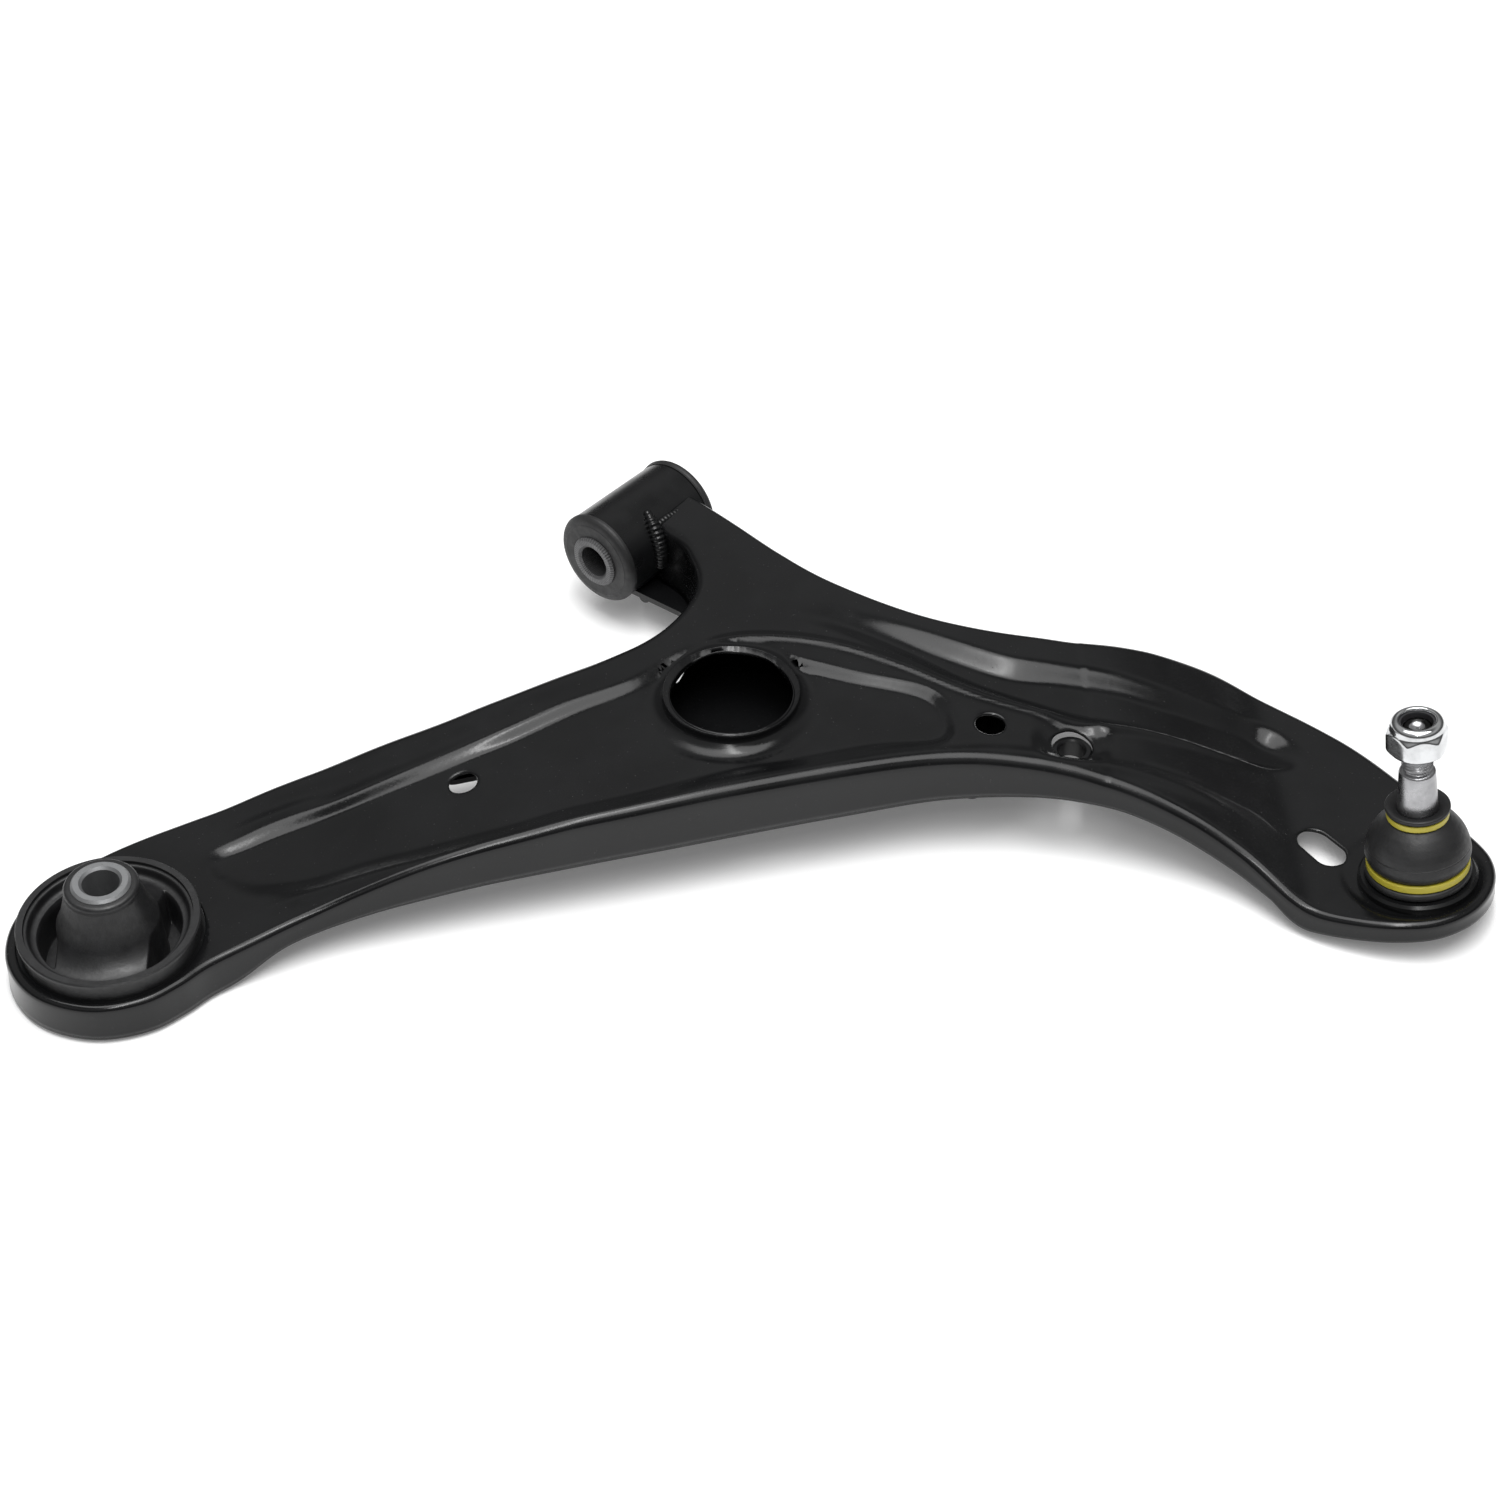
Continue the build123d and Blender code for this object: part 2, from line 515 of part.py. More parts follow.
print("dust boot")
boot_top = TAPER_START + 0.6
boot_neck = HOUSING_RADIUS - 1.8 + RUN
with BuildPart() as dust_boot:
    with BuildSketch(stud_section):
        with BuildLine():
            Polyline(
                (boot_neck, boot_seat_low + 0.1), (19.4, boot_seat_low + 0.1),
                (20.2, boot_seat_low + 0.9), (20.2, boot_seat_low + 2.9), (19.4, boot_seat_low + 3.6),
                (17.9, boot_seat_low + 3.8), (17.9, boot_seat_low + 7.4), (19.0, boot_seat_low + 7.9),
                (BOOT_BELLY, boot_seat_low + 10), (BOOT_BELLY - 0.3, 15), (18.3, 20), (15.8, 24),
                (13.4, 27.0), (11.7, 28.3), (11.7, 31.3), (BOOT_LIP_RADIUS, 31.7),
                (BOOT_LIP_RADIUS, boot_top), (TAPER_BIG + 2.5, boot_top),
                (TAPER_BIG + RUN, boot_top - 1.8), (TAPER_BIG + RUN, 29.0), (9.8, 26.8), (12.4, 23.6),
                (15.4, 19), (17.2, 14.6), (17.2, boot_seat_low + 9.6), (boot_neck, boot_seat_low + 7.4),
                close=True)
        make_face()
    revolve(axis=stud_axis)


with BuildPart() as boot_clip_lower:
    with BuildSketch(stud_section):
        with Locations((17.9 + RUN + 0.8, boot_seat_low + 5.6)):
            RectangleRounded(1.6, 3.2, 0.5)
    revolve(axis=stud_axis)

with BuildPart() as boot_clip_upper:
    with BuildSketch(stud_section):
        with Locations((11.7 + RUN + 0.7, 29.8)):
            RectangleRounded(1.4, 2.6, 0.5)
    revolve(axis=stud_axis)

pieces = {
    "arm_shell": arm_shell, "lower_plate": lower_plate, "front_tube": front_tube,
    "eye_weld_upper": eye_weld_upper, "eye_weld_lower": eye_weld_lower,
    "front_bush_shell": front_bush_shell, "front_bush_rubber": front_bush_rubber,
    "front_bush_sleeve": front_bush_sleeve, "rear_eye_collar": rear_eye_collar,
    "rear_bush_ring": rear_bush_ring, "rear_bush_rubber": rear_bush_rubber,
    "rear_bush_sleeve": rear_bush_sleeve, "link_spacer": link_spacer, "bj_housing": bj_housing,
    "bj_seat": bj_seat, "bj_washer": bj_washer, "bj_cover": bj_cover, "ball_stud": ball_stud,
    "lock_nut": lock_nut, "nut_insert": nut_insert, "dust_boot": dust_boot,
    "boot_clip_lower": boot_clip_lower, "boot_clip_upper": boot_clip_upper,
}
os.makedirs("parts", exist_ok=True)
for name, piece in pieces.items():
    piece.part.label = name
    export_step(piece.part, f"parts/{name}.step")
    print(name, piece.part.is_valid, len(piece.part.solids()), round(piece.part.volume))
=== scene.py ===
from math import cos, pi, radians, sin, tan

import bpy
import numpy as np
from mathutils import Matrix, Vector
from mathutils.geometry import delaunay_2d_cdt


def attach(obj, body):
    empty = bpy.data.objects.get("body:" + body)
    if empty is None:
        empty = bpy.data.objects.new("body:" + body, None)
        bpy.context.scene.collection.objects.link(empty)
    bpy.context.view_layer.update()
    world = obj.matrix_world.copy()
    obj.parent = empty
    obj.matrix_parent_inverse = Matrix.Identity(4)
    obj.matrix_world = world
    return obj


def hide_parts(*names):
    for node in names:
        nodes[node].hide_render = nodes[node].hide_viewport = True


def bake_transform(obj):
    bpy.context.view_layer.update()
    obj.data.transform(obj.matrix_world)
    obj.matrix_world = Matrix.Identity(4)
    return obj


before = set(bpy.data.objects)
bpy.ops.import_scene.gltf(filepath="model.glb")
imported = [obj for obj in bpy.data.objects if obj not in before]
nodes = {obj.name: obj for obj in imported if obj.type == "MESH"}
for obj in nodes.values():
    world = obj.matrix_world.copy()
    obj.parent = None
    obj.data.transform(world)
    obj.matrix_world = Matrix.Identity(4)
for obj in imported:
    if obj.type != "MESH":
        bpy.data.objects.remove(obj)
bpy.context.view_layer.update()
mm = 0.001                                     # shapes are worked out in millimetres

# ---- view and stage ----
cameraSetup = {"at": (-0.7398, -0.6917, 0.7864), "toward": (-0.0469, -0.1019, -0.0330), "lens": 72.14}
cameraData = bpy.data.cameras.new("partCamera")
cameraData.lens = cameraSetup["lens"]
cameraData.sensor_width = 36
cameraData.clip_end = 50
camera = bpy.data.objects.new("partCamera", cameraData)
camera.location = cameraSetup["at"]
camera.rotation_euler = (Vector(cameraSetup["toward"])
                         - Vector(cameraSetup["at"])).to_track_quat("-Z", "Y").to_euler()
bpy.context.scene.collection.objects.link(camera)
bpy.context.scene.camera = camera
bpy.context.scene.view_settings.view_transform = "Standard"
print("camera ready")


# ---- shader maths ----
class Wire:                                    # an output socket that can be added, scaled and compared
    def __init__(self, tree, socket):
        self.tree, self.socket = tree, socket

    def math(self, operation, other, turned=False):
        step = self.tree.nodes.new("ShaderNodeMath")
        step.operation = operation
        for place, value in zip(step.inputs, (other, self) if turned else (self, other)):
            connect(self.tree, place, value)
        return Wire(self.tree, step.outputs[0])

    def __add__(self, other): return self.math("ADD", other)
    def __sub__(self, other): return self.math("SUBTRACT", other)
    def __rsub__(self, other): return self.math("SUBTRACT", other, turned=True)
    def __mul__(self, other): return self.math("MULTIPLY", other)
    def __truediv__(self, other): return self.math("DIVIDE", other)
    def __pow__(self, other): return self.math("POWER", other)
    __radd__, __rmul__ = __add__, __mul__


def connect(tree, place, value):               # a link for a wire, a set value for a number or colour
    if isinstance(value, Wire):
        tree.links.new(value.socket, place)
    elif place.type == "RGBA":
        place.default_value = (*value[:3], 1)
    else:
        place.default_value = value


class Finish:                                  # one material: a Principled shader and the nodes that feed it
    def __init__(self, name, **constants):
        self.material = bpy.data.materials.new(name)
        self.material.use_nodes = True
        self.tree = self.material.node_tree
        self.shader = self.tree.nodes["Principled BSDF"]
        for place, value in constants.items():
            connect(self.tree, self.shader.inputs[place.replace("_", " ")], value)
        self.place = self.node("ShaderNodeTexCoord", output="Object")

    def node(self, kind, settings=(), output=0, **values):
        made = self.tree.nodes.new(kind)
        for name, value in dict(settings).items():
            setattr(made, name, value)
        for name, value in values.items():
            name = name.replace("_", " ")
            spot = int(name[5:]) if name.startswith("input") else name
            connect(self.tree, made.inputs[spot], value)
        return Wire(self.tree, made.outputs[output])

    def noise(self, scale, detail=3.0, roughness=0.55, vector=None, output="Fac"):
        return self.node("ShaderNodeTexNoise", output=output, Vector=vector or self.place, Scale=scale,
                         Detail=detail, Roughness=roughness)

    def ramp(self, value, low, high, start=0.0, end=1.0, curve="SMOOTHSTEP"):
        return self.node("ShaderNodeMapRange", {"interpolation_type": curve, "clamp": True}, Value=value,
                         From_Min=low, From_Max=high, To_Min=start, To_Max=end)

    def mix(self, mask, first, second):        # colours go through Mix, never through Math
        return self.node("ShaderNodeMix", {"data_type": "RGBA"}, output=2, input0=mask, input6=first,
                         input7=second)

    def parts(self):                           # x, y and z of the place on the piece
        split = self.tree.nodes.new("ShaderNodeSeparateXYZ")
        self.tree.links.new(self.place.socket, split.inputs[0])
        return [Wire(self.tree, spot) for spot in split.outputs]

    def bump(self, height, distance, strength=1.0, normal=None):
        values = {"Height": height, "Distance": distance, "Strength": strength}
        if normal:
            values["Normal"] = normal
        return self.node("ShaderNodeBump", **values)

    def feed(self, **sockets):
        for place, value in sockets.items():
            connect(self.tree, self.shader.inputs[place.replace("_", " ")], value)
        return self.material


# black electro-coat on pressed steel: broad haze, faint orange peel, small specks of dust
coat = {"colour": (0.0042, 0.0043, 0.0046), "haze": (0.0085, 0.0088, 0.0094), "rough": (0.15, 0.25)}


def blackCoat(name, rough=coat["rough"]):
    f = Finish(name, IOR=1.38)
    broad = f.noise(26, 4, 0.6)
    cloud = f.ramp(broad, 0.35, 0.68)
    speck = f.ramp(f.noise(900, 2, 0.5), 0.70, 0.78)
    peel = f.noise(520, 2, 0.5)
    dent = f.noise(38, 2, 0.45)
    base = f.mix(cloud * 0.45, coat["colour"], coat["haze"])
    colour = f.mix(speck * 0.25, base, (0.09, 0.09, 0.09))
    roughness = f.ramp(f.noise(60, 5, 0.6), 0.3, 0.75, rough[0], rough[1]) + cloud * 0.03 + speck * 0.2
    normal = f.bump(peel, 0.00003, 0.5, f.bump(dent, 0.0004, 0.25))
    return f.feed(Base_Color=colour, Roughness=roughness, Normal=normal)


rubber = {"colour": (0.0085, 0.0085, 0.009), "bloom": (0.024, 0.025, 0.027), "rough": (0.48, 0.66)}


def mouldedRubber(name, rough=rubber["rough"], bloomShare=0.5):
    f = Finish(name, IOR=1.5)
    bloom = f.ramp(f.noise(95, 6, 0.65), 0.42, 0.75)
    grain = f.noise(1500, 3, 0.6)
    marks = f.noise(240, 5, 0.7)
    colour = f.mix(bloom * bloomShare, rubber["colour"], rubber["bloom"])
    roughness = f.ramp(marks, 0.3, 0.7, rough[0], rough[1])
    normal = f.bump(grain, 0.00008, 0.5, f.bump(marks, 0.00035, 0.35))
    return f.feed(Base_Color=colour, Roughness=roughness, Normal=normal)


joint = {"centre": (50.5, -355.0, -16.5), "tilt": 10.0}
studAxis = np.array([0, sin(radians(joint["tilt"])), cos(radians(joint["tilt"]))])


def alongStud(f):                              # distance along the stud and angle about it, from object place
    x, y, z = f.parts()
    cx, cy, cz = (value * mm for value in joint["centre"])
    up = (y - cy) * float(studAxis[1]) + (z - cz) * float(studAxis[2])
    side = (y - cy) * float(studAxis[2]) - (z - cz) * float(studAxis[1])
    return up, (side).math("ARCTAN2", x - cx)


def brightZinc(name, rough=(0.10, 0.24), colour=(0.80, 0.81, 0.82), lines=0.35, endShade=0.0):
    f = Finish(name, IOR=2.2, Metallic=1.0)
    up, turn = alongStud(f)
    rings = f.node("ShaderNodeTexNoise", {"noise_dimensions": "1D"}, W=up * 9000, Scale=1.0, Detail=2.0)
    cloud = f.noise(130, 4, 0.6)
    scuff = f.ramp(f.noise(700, 4, 0.7), 0.55, 0.8)
    tint = f.mix(f.ramp(cloud, 0.35, 0.7), colour, tuple(c * 0.8 for c in colour))
    shade = f.mix(scuff * 0.5, tint, tuple(c * 0.6 for c in colour))
    # the stud's end, down inside the nut's bore, is painted near black as shade
    shade = f.mix(f.ramp(up, 0.0690, 0.0697) * endShade, shade, (0.02, 0.02, 0.02))
    roughness = f.ramp(cloud, 0.3, 0.7, rough[0], rough[1]) + scuff * 0.12
    normal = f.bump(rings, 0.00002, lines, f.bump(f.noise(900, 3, 0.6), 0.00003, 0.3))
    return f.feed(Base_Color=shade, Roughness=roughness, Normal=normal)


def springPaint(name):                         # yellow lacquer on the boot clips
    f = Finish(name, IOR=1.5)
    wear = f.ramp(f.noise(420, 5, 0.65), 0.56, 0.72)
    shade = f.mix(f.noise(180, 3, 0.5), (0.40, 0.34, 0.022), (0.52, 0.45, 0.05))
    colour = f.mix(wear * 0.35, shade, (0.22, 0.19, 0.03))
    normal = f.bump(f.noise(1300, 3, 0.6), 0.00003, 0.5)
    return f.feed(Base_Color=colour, Roughness=0.34 + wear * 0.2, Normal=normal)


def sleeveSteel(name, light, dark, rough, centre, axis, teeth=0):
    # sawn and phosphated steel; with teeth the end face carries radial serrations
    f = Finish(name, IOR=1.9, Metallic=0.75)
    x, y, z = f.parts()
    if axis == "x":
        across, up = y - centre[1] * mm, z - centre[2] * mm
    else:
        across, up = x - centre[0] * mm, y - centre[1] * mm
    turn = across.math("ARCTAN2", up)
    cloud = f.noise(260, 5, 0.65)
    pits = f.ramp(f.noise(1100, 3, 0.6), 0.58, 0.75)
    colour = f.mix(pits * 0.6, f.mix(cloud, light, tuple(c * 0.8 for c in light)), dark)
    height = f.noise(1400, 3, 0.6)
    if teeth:
        saw = (turn * float(teeth)).math("SINE", 0.0)
        # the grooves between the teeth are painted darker than the crests as shade
        colour = f.mix(f.ramp(saw, -0.4, 0.8), colour, tuple(c * 1.35 for c in light))
        height = height * 0.2 + saw
    normal = f.bump(height, 0.00012 if teeth else 0.00005, 0.6)
    return f.feed(Base_Color=colour, Roughness=f.ramp(cloud, 0.3, 0.7, rough[0], rough[1]), Normal=normal)


def mouldedPlastic(name, colour, darker):
    f = Finish(name, IOR=1.49)
    cloud = f.noise(300, 4, 0.6)
    normal = f.bump(f.noise(1800, 2, 0.5), 0.00003, 0.4)
    return f.feed(Base_Color=f.mix(cloud, colour, darker), Roughness=f.ramp(cloud, 0.3, 0.7, 0.35, 0.5),
                  Normal=normal)


shellCoat = blackCoat("shellCoat")
tubeCoat = blackCoat("tubeCoat", (0.24, 0.36))
weldCoat = blackCoat("weldCoat", (0.16, 0.28))
housingCoat = blackCoat("housingCoat", (0.20, 0.32))
bushRubber = mouldedRubber("bushRubber")
eyeRubber = mouldedRubber("eyeRubber", (0.36, 0.52), 0.35)
bootRubber = mouldedRubber("bootRubber", (0.42, 0.56), 0.25)
studZinc = brightZinc("studZinc", (0.24, 0.36), (0.40, 0.40, 0.41), 0.6, 1.0)
nutZinc = brightZinc("nutZinc", (0.10, 0.20), (0.66, 0.67, 0.68), 0.15)
clipPaint = springPaint("clipPaint")
rearSleeveSteel = sleeveSteel("rearSleeveSteel", (0.27, 0.275, 0.28), (0.13, 0.13, 0.135), (0.38, 0.52),
                              (-295, 0, 0), "z")
frontSleeveSteel = sleeveSteel("frontSleeveSteel", (0.10, 0.10, 0.102), (0.035, 0.035, 0.035), (0.38, 0.55),
                               (0, 0, 0), "x", 56)
seatPlastic = mouldedPlastic("seatPlastic", (0.72, 0.71, 0.66), (0.62, 0.60, 0.54))
insertNylon = mouldedPlastic("insertNylon", (0.035, 0.035, 0.038), (0.02, 0.02, 0.022))
coverSteel = blackCoat("coverSteel", (0.30, 0.42))
print("materials ready")


# ---- mesh helpers ----
def curveThrough(points, spacing, closed=False):
    # Catmull-Rom curve through the points, chord-length weighted, cut into equal steps
    p = np.array(points, float)
    p = np.vstack([p[-1:], p, p[:2]]) if closed else np.vstack([2 * p[:1] - p[1:2], p, 2 * p[-1:] - p[-2:-1]])
    t = np.linspace(0, 1, 24, endpoint=False)[None, :, None]
    a, b, c, d = p[:-3, None], p[1:-2, None], p[2:-1, None], p[3:, None]
    ab, bc, cd = (np.linalg.norm(v, axis=-1, keepdims=True) ** 0.5 + 1e-9 for v in (b - a, c - b, d - c))
    m1 = bc * ((b - a) / ab - (c - a) / (ab + bc) + (c - b) / bc)
    m2 = bc * ((c - b) / bc - (d - b) / (bc + cd) + (d - c) / cd)
    fine = ((2 * b - 2 * c + m1 + m2) * t ** 3 + (-3 * b + 3 * c - 2 * m1 - m2) * t ** 2 + m1 * t
            + b).reshape(-1, p.shape[1])
    fine = np.vstack([fine, p[1:2] if closed else p[-2:-1]])
    length = np.concatenate([[0], np.cumsum(np.linalg.norm(np.diff(fine, axis=0), axis=1))])
    steps = np.linspace(0, length[-1], max(4, int(round(length[-1] / spacing))) + 1)
    if closed:
        steps = steps[:-1]
    return np.stack([np.interp(steps, length, column) for column in fine.T], 1)


def softened(profile, radius, steps=5, closed=True):
    # each corner gives way to a quadratic curve that starts at most one radius before it
    p = np.array(profile, float)
    before, after = np.roll(p, 1, 0) - p, np.roll(p, -1, 0) - p
    if not closed:
        before[0] = after[-1] = 0
    reach = lambda v: v * np.minimum(radius / (np.linalg.norm(v, axis=1, keepdims=True) + 1e-9), 0.45)
    t = np.linspace(0, 1, steps + 1)[None, :, None]
    a, b = (p + reach(before))[:, None], (p + reach(after))[:, None]
    curve = ((1 - t) ** 2 * a + 2 * t * (1 - t) * p[:, None] + t ** 2 * b).reshape(-1, 2)
    keep = np.concatenate([[True], np.linalg.norm(np.diff(curve, axis=0), axis=1) > 1e-6])
    return curve[keep]


def makePiece(name, points, faces, material, body=None, smooth=True, outward=True):
    # points in millimetres; a closed piece whose volume comes out negative has its faces turned over
    points, faces = np.asarray(points, float).reshape(-1, 3), np.asarray(faces, int)
    if outward:
        a, b, c = points[faces[:, 0]], points[faces[:, 1]], points[faces[:, 2]]
        volume = (a * np.cross(b, c)).sum()
        if faces.shape[1] == 4:
            volume += (a * np.cross(c, points[faces[:, 3]])).sum()
        if volume < 0:
            faces = faces[:, ::-1]
    mesh = bpy.data.meshes.new(name)
    mesh.from_pydata((points * mm).tolist(), [], faces.tolist())
    mesh.polygons.foreach_set("use_smooth", np.full(len(faces), smooth))
    mesh.update()
    mesh.materials.append(material)
    piece = bpy.data.objects.new(name, mesh)
    bpy.context.scene.collection.objects.link(piece)
    if body:
        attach(piece, body)
    return piece


def gridFaces(rows, columns, wrapRows=False, wrapColumns=False):
    # quads of a grid of points stored row after row
    r, c = np.meshgrid(np.arange(rows - (not wrapRows)), np.arange(columns - (not wrapColumns)), indexing="ij")
    r, c = r.ravel(), c.ravel()
    r2, c2 = (r + 1) % rows, (c + 1) % columns
    return np.stack([r * columns + c, r2 * columns + c, r2 * columns + c2, r * columns + c2], 1)


def axisFrame(axis):
    w = np.array(axis, float) / np.linalg.norm(axis)
    u = np.cross([0, 1, 0] if abs(w[1]) < 0.9 else [0, 0, 1], w)
    u /= np.linalg.norm(u)
    return u, np.cross(w, u), w


def turned(name, profile, centre, axis, material, body, count=160, shape=None, closed=True):
    # profile (radius, height) carried round the axis; shape may change the radii by angle and height
    u, v, w = axisFrame(axis)
    turn = np.linspace(0, 2 * pi, count, endpoint=False)[:, None]
    radius, height = np.broadcast_arrays(profile[None, :, 0], profile[None, :, 1] + 0 * turn)
    radius = radius + 0 * turn
    if shape:
        radius, height = shape(turn + 0 * radius, radius, height)
    points = (np.array(centre, float) + radius[..., None]
              * (np.cos(turn)[..., None] * u + np.sin(turn)[..., None] * v)
              + height[..., None] * w)
    faces = gridFaces(count, profile.shape[0], wrapRows=True, wrapColumns=closed)
    return makePiece(name, points, faces, material, body)


def smoothStep(low, high, value):
    t = np.clip((value - low) / (high - low), 0, 1)
    return t * t * (3 - 2 * t)


# ---- pressed shell ----
pressing = {
    "sheet": 2.8, "spacing": 1.5, "rimStep": 1.3,
    "panelDepth": 2.6, "channelDepth": 5.2, "crestHeight": 0.7, "ridgeHeight": 1.0,
}
railStart = np.array([-295.0, 0.0])
railAlong = np.array([345.5, -355.0]) / np.hypot(345.5, 355.0)
crownLine = np.array([(-70, -16), (40, -16), (75, -10), (105, -1.5), (140, 6.5), (175, 11), (225, 13.5),
                      (280, 14.3),
                      (330, 13.4), (365, 10.8), (392, 6), (415, -1.5), (437, -12), (465, -30), (520, -70)])
hemLine = np.array([(-70, -31.5), (46, -31.5), (62, -21.5), (105, -15.5), (140, -12.4), (190, -10.2), (250, -9),
                    (295, -7.8), (330, -6), (360, -3.9), (385, -4.4), (403, -9), (420, -15.6), (437, -22),
                    (462, -27),
                    (520, -27)])
# outer edge in plan: x, y and the radius of the bend there
rimPoints = [
    (-5, -10, 4), (-8, -33, 4), (-22, -52, 4.5), (-50, -60.5, 5), (-80, -53.5, 5.5), (-135.2, -28.7, 5.5),
    (-171.2, -5.8, 5),
    (-207.2, 15.2, 4.5), (-240, 28.2, 4), (-266, 35.4, 2.8), (-295, 39, 2.4), (-313.4, 34.6, 2.4),
    (-327.7, 22, 2.4),
    (-333.8, 5.4, 2.4), (-332.6, -9.3, 2.4), (-324.2, -25, 2.4), (-309, -35.8, 2.4), (-295, -38.9, 2.4),
    (-281, -40, 2.6),
    (-262, -46.5, 2.8), (-238, -57, 2.8), (-204, -79, 3), (-139, -126, 4.2), (-80, -168, 5), (-41, -199, 5),
    (-16, -232, 5), (1, -270, 4.5), (8, -300, 4), (8, -325, 3.6), (11, -343, 3), (19.9, -364.4, 2.6),
    (30.5, -377, 2.6),
    (45.8, -383.2, 2.6), (62.1, -381.4, 2.6), (75.8, -372.2, 2.8), (90, -345, 4), (99, -318, 4.5),
    (104.5, -285, 5),
    (100.5, -241.5, 4.5), (77.8, -211.2, 4.5), (50.3, -184.3, 4.5), (25.8, -144.7, 4), (15, -97, 3.2),
    (15, -68, 2.8), (18, -38, 2.8),
    (20, -10, 2.8),
]
hub = {"x": -68, "y": -111, "top": 17.6}
holes = [                                      # centre, direction of the long way, length between ends, radius
    ((-162.6, -55.7), 0, 0, 5.5), ((-13.6, -197), 0, 0, 5.8), ((2.6, -225), 0, 0, 8.0),
    ((43.4, -317.1), 76, 9, 6.3),
]

lineCrest = [(-255, -33), (-239, -44), (-221, -59), (-202, -77), (-183, -95), (-160, -110), (-137, -125),
             (-105, -146),
             (-83, -161), (-57, -179), (-38, -196), (-23, -211), (-10, -229), (2, -246), (13, -262),
             (22, -280), (29, -300)]
lineRib = [(-236, 10), (-230, 7), (-219, 2), (-204, -6), (-190, -15)]
lineStepRim = [(-241, 9), (-212, -6), (-189, -21), (-164, -36), (-139, -49), (-110, -60), (-88, -70)]
lineRail = [(-228, 18), (-205, 9), (-172, -13), (-136, -36), (-100, -52), (-76, -62)]
lineRidge = [(-60, -78), (-40, -88), (-26, -104), (-16, -124), (-9, -150), (-4, -180), (4, -203), (12, -221),
             (33, -244), (54, -268), (68, -279), (77, -286)]
lineCrease = [(10, -247), (20, -261), (30, -279), (37, -294), (36, -308)]
panelEdge = [(-249, -8), (-243, 2), (-228, -2), (-212, -10), (-189, -25), (-164, -40), (-139, -53), (-110, -64),
             (-86, -74), (-60, -80), (-43, -96), (-35, -116), (-27, -138), (-15, -168), (-19, -180),
             (-31, -189),
             (-53, -173), (-79, -155), (-101, -139), (-132, -120), (-155, -104), (-178, -89), (-198, -72),
             (-217, -54), (-235, -38), (-246, -24)]
channelEdge = [(-38, -72), (-22, -84), (-9, -112), (-2, -145), (2, -175), (9, -198), (17, -217), (36, -240),
               (56, -264), (77, -284), (84, -276), (84, -262), (68, -243), (57, -229), (46, -213), (34, -198),
               (22, -182), (14, -160), (6, -130), (-6, -95), (-20, -74)]


def fromLine(line, x, y, closed=False):
    # distance to the nearest piece of the line, the side of it, and how far along the line that is
    a = np.asarray(line, float)
    b = np.roll(a, -1, 0) if closed else a[1:]
    a = a if closed else a[:-1]
    d = b - a
    px, py = x[:, None] - a[None, :, 0], y[:, None] - a[None, :, 1]
    t = np.clip((px * d[:, 0] + py * d[:, 1]) / (d ** 2).sum(1), 0, 1)
    gap = np.hypot(px - t * d[:, 0], py - t * d[:, 1])
    k = gap.argmin(1)
    rows = np.arange(len(x))
    side = np.sign(d[k, 0] * py[rows, k] - d[k, 1] * px[rows, k])
    return gap[rows, k], side, (k + t[rows, k]) / len(d)


def within(line, x, y):
    # inside test by counting how many edges a ray toward +x crosses
    a = np.asarray(line, float)
    b = np.roll(a, -1, 0)
    hits = (a[None, :, 1] > y[:, None]) != (b[None, :, 1] > y[:, None])
    with np.errstate(divide="ignore", invalid="ignore"):
        cross = a[:, 0] + (y[:, None] - a[:, 1]) * (b[:, 0] - a[:, 0]) / (b[:, 1] - a[:, 1])
    return ((hits & (cross > x[:, None])).sum(1) % 2) == 1


smoothLines = {
    "crest": curveThrough(lineCrest, 4), "rib": curveThrough(lineRib, 4),
    "stepRim": curveThrough(lineStepRim, 4),
    "rail": curveThrough(lineRail, 4), "ridge": curveThrough(lineRidge, 3),
    "crease": curveThrough(lineCrease, 3),
    "panel": curveThrough(panelEdge, 4, True), "channel": curveThrough(channelEdge, 4, True),
}
stations = np.arange(-120.0, 580.0)
kernel = np.exp(-np.linspace(-2.5, 2.5, 41) ** 2)
kernel /= kernel.sum()
crownTable = np.convolve(np.interp(np.arange(-140.0, 600.0), *crownLine.T), kernel, "same")[20:-20]
hemTable = np.convolve(np.interp(np.arange(-140.0, 600.0), *hemLine.T), kernel[10:31] / kernel[10:31].sum(),
                       "same")[20:-20]


def padPlane(y):
    return -18.96 - tan(radians(joint["tilt"])) * (y + 355.434)


def softMax(a, b, width):
    return 0.5 * (a + b + np.sqrt((a - b) ** 2 + width ** 2))


def ridgeAlong(name, x, y, height, width, fade=0.06):
    # bell across the line, fading at both of its ends
    gap, side, along = fromLine(smoothLines[name], x, y)
    return height * np.exp(-(gap / width) ** 2) * smoothStep(0, fade, along) * smoothStep(1, 1 - fade, along)


def recess(name, x, y, depth, nearWidth, farWidth=None, split=None):
    # a closed region lowered by the depth, with a soft step along its edge
    gap, side, along = fromLine(smoothLines[name], x, y, True)
    signed = np.where(within(smoothLines[name], x, y), gap, -gap)
    width = nearWidth if farWidth is None else farWidth + (nearWidth - farWidth) * (
        smoothStep(split[0] - 0.04, split[0] + 0.02, along) * smoothStep(split[1] + 0.04, split[1] - 0.02,
                                                                         along))
    return -depth * smoothStep(-0.5, 0.5, signed / width)


